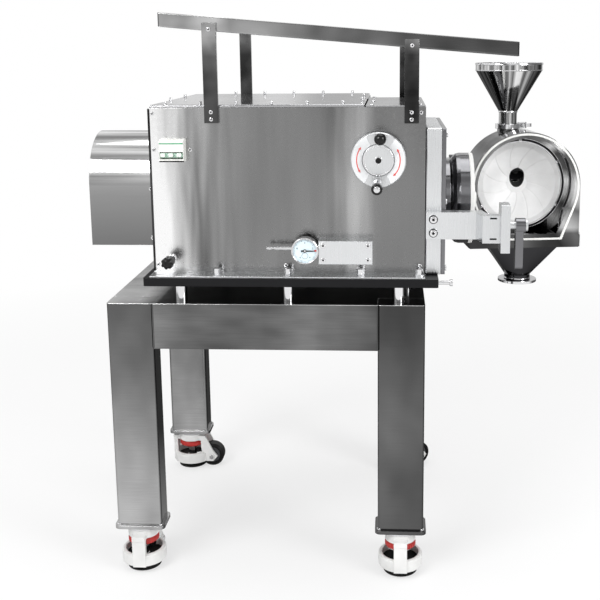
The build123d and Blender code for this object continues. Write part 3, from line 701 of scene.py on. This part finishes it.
def socket_screws(name, body, spots, radius, height, facing, place=TO_FRAME):
    """Cap screws with a dark hexagon socket, a painted shade disc for the recess, at spots (mm), facing a
    direction (Euler angles).
    """
    tree, sockets = scatter_tree(
        name + "_tree",
        [
            (FINISHES["polished_steel"], "Head radius", "Head height", "Head lift", 24),
            # The ink disc on each head is painted shade standing in for the hexagon socket's recess
            (FINISHES["ink"], "Socket radius", "Socket height", "Socket lift", 6),
        ],
    )
    values = {
        "Head radius": radius / 1000,
        "Head height": height / 1000,
        "Head lift": height / 2000,
        "Socket radius": radius * 0.45 / 1000,
        "Socket height": 0.0004,
        "Socket lift": (height + 0.1) / 1000,
        "Facing": facing,
    }
    piece = grown(name, tree, sockets, values, [place @ Vector(s) for s in spots], radius * 0.1 / 1000)
    return settle(piece, body, None)


def ribs_round(name, body, count, radius, size, matrix, finish, bevel=0.0):
    """Ribs round a knob or wheel: count, circle radius, rib size, all in mm, then placed by matrix."""
    tree, sockets = ring_tree(name + "_tree", FINISHES[finish])
    values = {"Count": count, "Radius": radius, "Size": size}
    piece = grown(name, tree, sockets, values, [(0, 0, 0)], bevel)
    piece.data.transform(matrix)
    return settle(piece, body, None)


# Stage


def studio_floor(tone):
    """Pale floor that runs out to white, and that the metal sees lit in front and dim behind."""
    material = bpy.data.materials.new("Studio floor")
    tree = fresh_tree(material)
    path = add(tree, "ShaderNodeLightPath").outputs
    reach = add(tree, "ShaderNodeVectorMath", {0: where(tree)}, operation="LENGTH").outputs["Value"]
    seen = joined(tree, "MULTIPLY", path["Is Camera Ray"], spread(tree, reach, 0.62, 1.0, 0.9, 2.8))
    front = spread(tree, parts_of(tree, where(tree))["Y"], 1.0, 0.05, -0.6, 0.5)
    shine = joined(tree, "MAXIMUM", path["Is Glossy Ray"], path["Is Transmission Ray"])
    share = joined(tree, "MAXIMUM", seen, joined(tree, "MULTIPLY", shine, 0.94))
    matte = add(tree, "ShaderNodeBsdfDiffuse", {"Color": (tone, tone, tone, 1.0)}).outputs["BSDF"]
    level = joined(tree, "MAXIMUM", path["Is Camera Ray"], front)
    glow = add(tree, "ShaderNodeEmission", {"Color": WHITE, "Strength": level}).outputs["Emission"]
    mixed = add(tree, "ShaderNodeMixShader", {"Fac": share, 1: matte, 2: glow})
    add(tree, "ShaderNodeOutputMaterial", {"Surface": mixed.outputs["Shader"]})
    return material


def studio_room():
    """White to the camera, and a room of pale cards and dark gaps to the polished metal."""
    world = bpy.data.worlds.new("Studio")
    tree = fresh_tree(world)
    path = add(tree, "ShaderNodeLightPath").outputs
    place = where(tree, "Generated")
    parts = parts_of(tree, place)
    cards = ramp(tree, spread(tree, parts["Z"], 0.0, 1.0, -1.0, 1.0), ROOM_BANDS)
    wide = add(tree, "ShaderNodeMapping", {"Scale": (1.0, 1.0, 0.35), "Vector": place}).outputs["Vector"]
    gaps = add(tree, "ShaderNodeTexNoise", {"Scale": 5.5, "Detail": 1.0, "Vector": wide}).outputs["Fac"]
    level = joined(tree, "MULTIPLY", cards, spread(tree, gaps, 0.6, 1.0, 0.42, 0.54))
    level = joined(tree, "MULTIPLY", level, spread(tree, parts["X"], 1.0, 0.25, 0.35, 0.8))
    level = joined(tree, "MAXIMUM", level, spread(tree, parts["X"], 0.95, 0.0, -0.75, -0.3))
    reflected, around, white = (
        add(tree, "ShaderNodeBackground", {"Color": WHITE, "Strength": strength}).outputs["Background"]
        for strength in (level, 0.55, 1.0)
    )
    first = add(tree, "ShaderNodeMixShader", {"Fac": path["Is Glossy Ray"], 1: around, 2: reflected})
    seen = joined(tree, "MAXIMUM", path["Is Camera Ray"], path["Is Transmission Ray"])
    second = add(tree, "ShaderNodeMixShader", {"Fac": seen, 1: first.outputs["Shader"], 2: white})
    add(tree, "ShaderNodeOutputWorld", {"Surface": second.outputs["Shader"]})
    return world


# Operators


class MILL_OT_stage(bpy.types.Operator):
    """Floor, soft lights, white surroundings and the camera"""

    bl_idname = "mill.stage"
    bl_label = "Stage"

    def execute(self, context):
        scene = context.scene
        settings = scene.mill_stage
        bm = bmesh.new()
        bmesh.ops.create_circle(bm, cap_ends=True, segments=96, radius=9.0)
        floor = link_mesh("floor", bm, Matrix.Translation((0, 0, -0.0005)))
        if floor.data.polygons[0].normal.z < 0:
            floor.data.flip_normals()
        floor.data.materials.append(studio_floor(settings.floor_tone))

        scene.world = studio_room()

        for name, spot, target, size, power in (
            ("key", (-1.6, -2.2, 2.6), (0, 0, 0.8), (1.6, 1.2), settings.key_power),
            ("fill", (2.4, -1.8, 2.0), (0.1, 0, 0.8), (1.2, 1.6), settings.key_power * 0.8),
            ("top", (0.2, 0.4, 3.0), (0, 0, 0.8), (2.4, 1.8), settings.key_power * 0.5),
        ):
            lamp = bpy.data.lights.new(name, "AREA")
            lamp.shape = "RECTANGLE"
            lamp.size, lamp.size_y = size
            lamp.energy = power
            holder = bpy.data.objects.new(name, lamp)
            holder.location = spot
            holder.rotation_euler = (Vector(target) - Vector(spot)).to_track_quat("-Z", "Y").to_euler()
            scene.collection.objects.link(holder)

        data = bpy.data.cameras.new("camera")
        data.lens = settings.lens
        data.sensor_width = 36.0
        data.shift_x = -0.06
        data.shift_y = -0.12
        data.clip_end = 60.0
        camera = bpy.data.objects.new("camera", data)
        yaw, pitch, roll = math.radians(-3.419), math.radians(10.645), math.radians(-0.463)
        ahead = Vector((math.sin(yaw) * math.cos(pitch), math.cos(yaw) * math.cos(pitch), -math.sin(pitch)))
        across = Vector((math.cos(yaw), -math.sin(yaw), 0.0))
        over = across.cross(ahead)
        right = math.cos(roll) * across + math.sin(roll) * over
        above = -math.sin(roll) * across + math.cos(roll) * over
        turn = Matrix((right, above, -ahead)).transposed().to_4x4()
        camera.matrix_world = Matrix.Translation((0.1042, -2.2495, 1.1538)) @ turn
        scene.collection.objects.link(camera)
        scene.camera = camera
        scene.view_settings.view_transform = "Standard"
        return {"FINISHED"}


class MILL_OT_finishes(bpy.types.Operator):
    """Gives every CAD piece its finish"""

    bl_idname = "mill.finishes"
    bl_label = "Finishes"

    def execute(self, context):
        build_finishes()
        slots = {part["node"]: part["material_slot"] for part in frame["record"]["subparts"]}
        for node, piece in frame["nodes"].items():
            material = finish_for(node, slots[node])
            piece.data.materials.clear()
            piece.data.materials.append(material)
        return {"FINISHED"}


class MILL_OT_fasteners(bpy.types.Operator):
    """Screws on the panels, uprights, lid, arm and plates"""

    bl_idname = "mill.fasteners"
    bl_label = "Fasteners"

    def execute(self, context):
        size = context.scene.mill_size
        r = size.screw_radius * 1000
        front = (math.pi / 2, 0.0, 0.0)
        back = (-math.pi / 2, 0.0, 0.0)
        right = (0.0, math.pi / 2, 0.0)
        up = (0.0, 0.0, 0.0)
        bars = [(-112, -238, 1021), (-112, -238, 1006), (310, -238, 1019), (310, -238, 1004)]
        bars += [(-112, -238, 1192), (310, -238, 1156)]
        socket_screws("upright_screws_front", "machine", bars, 4.2, 3.0, front)
        behind = [(-112, 273, 1021), (-112, 273, 1006)]
        socket_screws("upright_screws_rear", "machine", behind, 4.2, 3.0, back)
        socket_screws("upright_foot_bolts", "machine", [(296, 240, 679), (310, 240, 679)], 4.2, 3.0, up)
        panel = [(-239, -230, 941), (-161, -230, 941), (-240, -230, 1018), (-240, -230, 690)]
        panel += [(330, -230, 1018), (330, -230, 690), (40, -230, 690)]
        socket_screws("panel_screws", "machine", panel, r, 2.2, front)
        rear = [(x, 265, z) for x in (-235, -10, 200) for z in (700, 860, 1018)]
        socket_screws("rear_panel_screws", "machine", rear, r, 2.2, back)
        edge = [(-214 + 76 * k, y, 1036) for k in range(6) for y in (-220, 252)]
        edge += [(x, -62 + 157 * k, 1036) for k in range(2) for x in (-238, 201)]
        socket_screws("lid_screws", "machine", edge, 3.4, 7.0, up)
        side = [(x, y, 1033) for x in (226, 328) for y in (-215, -60, 92)]
        socket_screws("side_top_screws", "machine", side, r, 2.4, up)
        plate = [(383, y, z) for y in (-222, 75) for z in (684, 828, 972)]
        socket_screws("guard_plate_screws", "machine", plate, 6.0, 3.5, right)
        block = [(124, -270, 710), (124, -270, 741), (219, -270, 710), (219, -270, 741)]
        socket_screws("gauge_block_screws", "machine", block, 5.2, 1.6, front)
        for z in (769, 798):
            washer = [(5.5, 0.0), (9.4, 0.0), (9.4, 0.5), (5.5, 0.5)]
            spot = facing_front(356, -269, z)
            lathe("latch_arm_washer_" + str(z), washer, spot, 36, "machine", "ink")
        arm = [(356, -269.4, z) for z in (769, 798)]
        socket_screws("latch_arm_screws", "machine", arm, 7.4, 4.2, front)
        sides = (-1, 1)
        feet = [(sx * 290 + dx, sy * 297, 110) for sx in sides for sy in sides for dx in (-47, 47)]
        socket_screws("foot_bolts", "machine", feet, 4.6, 3.4, up)
        cover = [(-262, y, z) for y in (-182.2, 42.2) for z in (740, 850)]
        socket_screws("cover_screws_front", "machine", [c for c in cover if c[1] < -100], r, 2.2, front)
        socket_screws("cover_screws_back", "machine", [c for c in cover if c[1] > -100], r, 2.2, back)
        return {"FINISHED"}


class MILL_OT_handwheel_dial(bpy.types.Operator):
    """White dial bands with red arrows, painted shade of the hub groove and centre screw of the gap handwheel
    """

    bl_idname = "mill.handwheel_dial"
    bl_label = "Handwheel dial"

    def execute(self, context):
        place = facing_front(241, -265, 922)
        for name, start, end in (("dial_band_right", -62, 52), ("dial_band_left", 118, 238)):
            band = flat_plate(name, arc_outline(34.2, 56.0, start, end), 0.5, place)
            settle(band, "handwheel", "label_white")
        for name, start, end in (("right", -40, 24), ("left", 150, 207)):
            arrow = flat_plate("dial_arrow_" + name, arc_outline(44.2, 46.4, start, end), 0.75, place)
            settle(arrow, "handwheel", "mark_red")
            for tag, at, way in (("a", start, -1), ("b", end, 1)):
                a = math.radians(at)
                tip = math.radians(at + way * 8)
                outline = [
                    (42.4 * math.cos(a), 42.4 * math.sin(a)),
                    (45.3 * math.cos(tip), 45.3 * math.sin(tip)),
                    (48.2 * math.cos(a), 48.2 * math.sin(a)),
                ]
                if way > 0:
                    outline.reverse()
                head = flat_plate("dial_arrow_" + name + "_head_" + tag, outline, 0.8, place)
                settle(head, "handwheel", "mark_red")
        # A dark ring at the edge of the hub recess: painted shade of the groove there
        ring = [(33.0, -0.2), (34.4, -0.2), (34.4, 0.15), (33.0, 0.15)]
        lathe("dial_groove_shade", ring, place, 72, "handwheel", "dark_steel")
        face = [(31.0, 6.0), (31.6, 6.0), (31.6, 6.35), (28.6, 6.35), (28.6, 6.0)]
        lathe("hub_rim", face, place, 72, "handwheel", "polished_steel")
        washer = [(5.0, 6.0), (8.2, 6.0), (8.2, 6.8), (7.4, 7.4), (5.0, 7.4)]
        lathe("hub_washer", washer, place, 36, "handwheel", "polished_steel")
        spot = [(0.0, 6.0), (6.2, 6.0), (6.2, 9.6), (5.4, 10.4), (3.2, 10.4), (3.0, 8.0), (0.0, 8.0)]
        lathe("hub_screw", spot, place, 36, "handwheel", "black_plastic", closed=False)
        knob = facing_front(239, -346, 872)
        cap = [(0.0, -0.4), (6.6, -0.4), (6.6, 0.1), (6.2, 0.3), (0.0, 0.3)]
        lathe("ring_knob_centre", cap, knob, 36, "handwheel_knob", "polished_steel", closed=False)
        stem = facing_front(239, -265, 872)
        collar = [(5.0, 0.5), (10.0, 0.5), (10.0, 3.5), (8.0, 7.0), (6.2, 30.0), (6.2, 60.0), (5.0, 60.0)]
        lathe("ring_knob_stem", collar, stem, 36, "handwheel", "polished_steel")
        return {"FINISHED"}


class MILL_OT_gauge_dial(bpy.types.Operator):
    """Ticks, bezel, red mark, small dial and figures of the dial gauge"""

    bl_idname = "mill.gauge_dial"
    bl_label = "Gauge dial"

    def execute(self, context):
        place = facing_front(85.5, -271.2, 730)
        ticks = context.scene.mill_size.gauge_ticks
        ribs_round("gauge_ticks", "machine", ticks, 23.2, (2.6, 0.35, 0.3), place, "ink")
        ribs_round("gauge_long_ticks", "machine", 10, 22.4, (4.2, 0.6, 0.34), place, "ink")
        bezel = [(25.5, 0.4), (25.5, 3.0), (26.2, 4.2), (27.6, 4.4), (28.9, 3.4)]
        bezel += [(28.9, -4.0), (28.5, -4.4), (28.4, 0.4)]
        lathe("gauge_bezel", bezel, place, 72, "machine", "polished_steel")
        mark = flat_plate("gauge_mark", arc_outline(19.5, 24.6, -4, 6, 6), 0.5, place)
        settle(mark, "machine", "mark_red")
        small = [(6.3, 0.0), (6.8, 0.0), (6.8, 0.25), (6.3, 0.25)]
        low = place @ Matrix.Translation((0, -10.5, 0))
        lathe("gauge_small_dial", small, low, 36, "machine", "ink")
        for index in range(5):
            a = math.radians(90 - index * 72)
            text = bpy.data.curves.new("gauge_figure", "FONT")
            text.body = str(index * 2)
            text.size = 5.2
            text.align_x = "CENTER"
            text.align_y = "CENTER"
            text.extrude = 0.12
            holder = bpy.data.objects.new("gauge_figure_holder", text)
            context.scene.collection.objects.link(holder)
            context.view_layer.update()
            mesh = bpy.data.meshes.new_from_object(holder.evaluated_get(context.evaluated_depsgraph_get()))
            bpy.data.objects.remove(holder)
            mesh.transform(place @ Matrix.Translation((17.4 * math.cos(a), 17.4 * math.sin(a), 0.12)))
            figure = bpy.data.objects.new("gauge_figure_" + str(index), mesh)
            context.scene.collection.objects.link(figure)
            settle(figure, "machine", "ink")
        return {"FINISHED"}


class MILL_OT_breaker_marks(bpy.types.Operator):
    """Green line, dark skirt and toggle faces of the breaker"""

    bl_idname = "mill.breaker_marks"
    bl_label = "Breaker marks"

    def execute(self, context):
        line = slab("breaker_line", (-222, -255.6, 955.2), (-171, -248.8, 957.6), TO_FRAME, 0.3)
        settle(line, "machine", "green_plastic")
        low = slab("breaker_skirt", (-222.4, -256.0, 917.4), (-170.6, -248.8, 919.4), TO_FRAME, 0.3)
        settle(low, "machine", "ink")
        for k in range(3):
            x = -196.5 + (k - 1) * 17.5
            pivot = TO_FRAME @ Matrix.Translation((x, -249, 931)) @ Matrix.Rotation(math.radians(-12), 4, "X")
            face = slab("toggle_face_" + str(k), (-4.8, -11.7, -4.2), (4.8, -10.7, 2.6), pivot, 0.3)
            settle(face, "breaker_toggles", "breaker_plastic")
        return {"FINISHED"}


class MILL_OT_knob_flutes(bpy.types.Operator):
    """Flutes and cap of the lock knob, and its nut"""

    bl_idname = "mill.knob_flutes"
    bl_label = "Knob flutes"

    def execute(self, context):
        count = context.scene.mill_size.knob_flutes
        place = facing_front(-208, -275, 704)
        lobe = (5.2, 5.6, 22.0)
        ribs_round("lock_knob_flutes", "lock_knob", count, 10.4, lobe, place, "black_plastic", bevel=0.8)
        front = facing_front(-208, -288, 704)
        cap = [(0.0, -0.2), (7.6, -0.2), (7.6, 0.6), (6.4, 1.4), (3.4, 1.4), (3.0, 0.2), (0.0, 0.2)]
        lathe("lock_knob_cap", cap, front, 36, "lock_knob", "black_plastic", closed=False)
        back = facing_front(-208, -230, 704)
        nut = [(5.2, 0.2), (9.0, 0.2), (9.0, 5.0), (8.0, 6.0), (5.2, 6.0)]
        lathe("lock_knob_nut", nut, back, 6, "machine", "polished_steel")
        return {"FINISHED"}


class MILL_OT_caster_details(bpy.types.Operator):
    """Thumbwheel ribs, rubber pads, rings, hubs and axle nuts of the casters"""

    bl_idname = "mill.caster_details"
    bl_label = "Caster details"

    def execute(self, context):
        count = context.scene.mill_size.thumb_ribs
        for corner, (x, y, turn) in CASTERS.items():
            place = TO_FRAME @ Matrix.Translation((x, y, 0)) @ Matrix.Rotation(math.radians(turn), 4, "Z")
            body, wheel, level = "caster_" + corner, "caster_wheel_" + corner, "leveller_" + corner
            middle = place @ Matrix.Translation((0, 0, 68))
            rib = (2.2, 3.4, 8.4)
            ribs_round("thumb_ribs_" + corner, level, count, 33.0, rib, middle, "leveller_red", bevel=0.7)
            pad = [(0.0, 2.2), (35.2, 2.2), (37.4, 3.3), (37.4, 5.2), (32.3, 11.4), (22.2, 15.4), (0.0, 15.4)]
            lathe("level_pad_" + corner, pad, place, 48, level, "rubber", closed=False)
            ring = [(23.6, 14.4), (29.4, 12.2), (30.4, 13.4), (28.6, 15.8), (24.0, 16.8)]
            lathe("level_ring_" + corner, ring, place, 48, level, "polished_steel")
            stem = [(10.1, 15.3), (12.6, 15.3), (12.6, 19.0), (11.2, 21.0), (11.2, 58.0), (10.1, 58.0)]
            lathe("level_stem_" + corner, stem, place, 36, level, "polished_steel")
            axle = place @ Matrix.Translation((0, 58, 32)) @ TOWARDS_X
            for side, tag in ((-1, "a"), (1, "b")):
                hub = [(12.4, side * 13.2), (21.4, side * 13.2), (21.4, side * 14.6), (12.4, side * 15.6)]
                lathe("wheel_hub_" + corner + tag, hub, axle, 36, wheel, "dark_coat")
                nut = [(0.0, side * 29.8), (6.6, side * 29.8), (6.6, side * 31.6), (5.6, side * 32.4)]
                nut.append((0.0, side * 32.4))
                lathe("axle_nut_" + corner + tag, nut, axle, 6, body, "polished_steel", closed=False)
            web = arc_outline(13.0, 39.8, 122, 418, 40)
            dark = flat_plate("caster_web_" + corner, web, 1.5, place @ Matrix.Translation((0, 0, 29)))
            settle(dark, body, "rubber")
            rim = [(40.6, 43.6), (45.6, 43.6), (46.4, 44.6), (45.6, 45.6), (41.4, 45.6), (40.2, 44.6)]
            lip = turned("caster_lip_" + corner, rim, place, 64)
            bm = bmesh.new()
            bm.from_mesh(lip.data)
            home = place.inverted()
            at_wheel = {v for v in bm.verts if (home @ v.co).y > 0 and abs((home @ v.co).x) < 20.5}
            gone = [f for f in bm.faces if at_wheel.issuperset(f.verts)]
            bmesh.ops.delete(bm, geom=gone, context="FACES")
            bmesh.ops.holes_fill(bm, edges=[e for e in bm.edges if e.is_boundary], sides=12)
            bmesh.ops.recalc_face_normals(bm, faces=bm.faces)
            bm.to_mesh(lip.data)
            bm.free()
            settle(lip, body, "caster_white")
            cap = [(20.0, 101.0), (34.6, 101.0), (34.6, 96.4), (33.0, 95.2), (20.0, 95.2)]
            lathe("swivel_race_" + corner, cap, place, 48, body, "polished_steel")
        return {"FINISHED"}


class MILL_OT_chamber_details(bpy.types.Operator):
    """Bolts, bright rings, painted shade rings and back cover of the grinding chamber"""

    bl_idname = "mill.chamber_details"
    bl_label = "Chamber details"

    def execute(self, context):
        size = context.scene.mill_size
        holder = []
        for k in range(size.rim_bolts):
            a = math.radians(30 + 360 * k / size.rim_bolts)
            holder.append((451.5, -70 + 110 * math.cos(a), 813 + 110 * math.sin(a)))
        inward = (0.0, -math.pi / 2, OPEN_ANGLE)
        socket_screws("holder_screws", "chamber", holder, 3.6, 2.0, inward, SWUNG)
        line = SWUNG @ Matrix.Translation((0, -70, 813)) @ TOWARDS_X
        # The ink ring in the holder's groove is painted shade of the groove; the other two rings are polished
        # steel
        for name, inner, outer, finish in (
            ("disc_edge_ring", 105.2, 108.2, "polished_steel"),
            ("holder_groove_shade_ring", 108.6, 112.6, "ink"),
            ("holder_edge_ring", 112.9, 114.9, "polished_steel"),
        ):
            lift = 0.2 if finish == "ink" else 1.2
            ring = [(inner, 451.6), (outer, 451.6), (outer, 451.4 - lift * 0.5), (outer - 0.5, 451.4 - lift)]
            ring += [(inner + 0.5, 451.4 - lift), (inner, 451.4 - lift * 0.5)]
            lathe(name, ring, line, 96, "chamber", finish)
        turns = [math.radians(t) for t in (0, 45, 90, 135, 180)]
        back = [(520, -70 + 118 * math.cos(a), 813 + 118 * math.sin(a)) for a in turns]
        back += [(520, -188, 690), (520, 48, 690)]
        outward = (0.0, math.pi / 2, OPEN_ANGLE)
        socket_screws("chamber_back_bolts", "chamber", back, 6.5, 5.0, outward, SWUNG)
        cover = [(0.0, 0.0), (96.0, 0.0), (96.0, 3.0), (94.0, 4.5), (60.0, 5.5), (58.0, 8.0), (0.0, 8.0)]
        behind = SWUNG @ Matrix.Translation((520, -70, 813)) @ TOWARDS_X
        lathe("chamber_back_cover", cover, behind, 96, "chamber", "chamber_steel", closed=False)
        for name, y in (("band_feet_a", -199), ("band_feet_b", 59)):
            foot = slab(name, (386, y - 9, 694), (440, y + 9, 700), SWUNG, 2.0, 3)
            settle(foot, "chamber", "chamber_steel")
        # A near-black sleeve inside the feed hole: a dark sheet as painted shade of the hole
        liner = [(18.4, -22.0), (18.8, -22.0), (18.8, -3.0), (18.4, -3.0)]
        slanting = SWUNG @ Matrix.Translation((498, -70, 846.5)) @ Matrix.Rotation(math.radians(45.0), 4, "Y")
        lathe("feed_hole_shade_sleeve", liner, slanting, 48, "chamber", "ink")
        seam = [(32.3, 0.0), (33.4, 0.0), (33.4, 3.0), (32.3, 3.0)]
        spout = SWUNG @ Matrix.Translation((450, -70, 574))
        lathe("spout_weld", seam, spout, 64, "chamber", "polished_steel")
        mouth = SWUNG @ Matrix.Translation((498, -48, 0))
        rim = [(79.4, 1109.4), (81.0, 1112.4), (83.2, 1112.4), (84.4, 1110.4), (84.4, 1107.6)]
        rim += [(82.6, 1107.2), (82.6, 1109.0)]
        lathe("hopper_rim", rim, mouth, 96, "chamber", "polished_steel")
        weld = [(82.5, 1092.6), (83.5, 1093.2), (83.6, 1095.2), (82.6, 1095.8)]
        lathe("hopper_seam", weld, mouth, 96, "chamber", "polished_steel")
        neck = [(22.4, 988.5), (24.0, 989.5), (24.2, 992.5), (23.6, 994.0), (22.6, 993.0)]
        lathe("neck_seam", neck, mouth, 64, "chamber", "polished_steel")
        return {"FINISHED"}


class MILL_OT_sheet_details(bpy.types.Operator):
    """Weld beads, tube caps, panel seams and cover trim"""

    bl_idname = "mill.sheet_details"
    bl_label = "Sheet details"

    def execute(self, context):
        for sx in (-1, 1):
            for sy in (-1, 1):
                x = sx * 240
                y = sy * 300.2
                bead = [(x, y, 522), (x, y, 570), (x, y, 618)]
                name = "leg_weld_" + ("r" if sx > 0 else "l") + ("b" if sy > 0 else "f")
                settle(tube_along(name, bead, 1.5, TO_FRAME), "machine", "stand_steel")
        slope = math.tan(RAIL_SLOPE)
        for y, name in ((-215, "front"), (250, "rear")):
            for x, end in ((-218, "low"), (528, "high")):
                z = RAIL_TOP - (x + 218) * slope - 15
                low = (x - 2.0 if end == "low" else x, y - 14.4, z - 14.4)
                high = (x if end == "low" else x + 2.0, y + 14.4, z + 14.4)
                cap = slab("rail_cap_" + name + "_" + end, low, high, TO_FRAME, 0.6)
                settle(cap, "machine", "black_plastic")
        plate = slab("cover_flange", (-256, -190, 712), (-250.2, 50, 724), TO_FRAME, 1.0)
        settle(plate, "machine", "cabinet_steel")
        turns = [math.radians(a) for a in range(0, 181, 6)]
        arch = [(-252, -70 + 113.2 * math.cos(a), 857 + 113.2 * math.sin(a)) for a in turns]
        path = [(-252, 43.2, 730), (-252, 43.2, 800)] + arch + [(-252, -183.2, 800), (-252, -183.2, 730)]
        settle(tube_along("cover_trim", path, 1.6, TO_FRAME), "machine", "black_plastic")
        for index, y in enumerate((262, -227)):
            low, high = (-250.4, y - 3.4, 676), (-245.6, y - 2.6, 1028)
            seam = slab("corner_seam_" + str(index), low, high, TO_FRAME, 0.0)
            settle(seam, "machine", "satin_steel")
        # Ink strips on the arm: painted shade standing in for its slots
        for z in (762, 805):
            slot = slab("arm_slot_" + str(z), (470, -305.4, z), (484, -304.7, z + 3.4), TO_FRAME, 0.0)
            settle(slot, "machine", "ink")
        return {"FINISHED"}


STEPS = (
    MILL_OT_finishes,
    MILL_OT_stage,
    MILL_OT_fasteners,
    MILL_OT_handwheel_dial,
    MILL_OT_gauge_dial,
    MILL_OT_breaker_marks,
    MILL_OT_knob_flutes,
    MILL_OT_caster_details,
    MILL_OT_chamber_details,
    MILL_OT_sheet_details,
)


class MILL_PT_panel(bpy.types.Panel):
    """Steps that dress the disc mill"""

    bl_idname = "MILL_PT_panel"
    bl_label = "Disc mill"
    bl_space_type = "VIEW_3D"
    bl_region_type = "UI"
    bl_category = "Disc Mill"

    def draw(self, context):
        for step in STEPS:
            self.layout.operator(step.bl_idname)
        for group in (context.scene.mill_finish, context.scene.mill_size, context.scene.mill_stage):
            for name in group.__annotations__:
                self.layout.prop(group, name)


CLASSES = (MillFinishSettings, MillSizeSettings, MillStageSettings, *STEPS, MILL_PT_panel)


def register():
    for item in CLASSES:
        bpy.utils.register_class(item)
    bpy.types.Scene.mill_finish = PointerProperty(type=MillFinishSettings)
    bpy.types.Scene.mill_size = PointerProperty(type=MillSizeSettings)
    bpy.types.Scene.mill_stage = PointerProperty(type=MillStageSettings)


def unregister():
    del bpy.types.Scene.mill_stage
    del bpy.types.Scene.mill_size
    del bpy.types.Scene.mill_finish
    for item in reversed(CLASSES):
        bpy.utils.unregister_class(item)


def main():
    register()
    for step in STEPS:
        family, action = step.bl_idname.split(".")
        getattr(getattr(bpy.ops, family), action)()


if __name__ == "__main__":
    main()
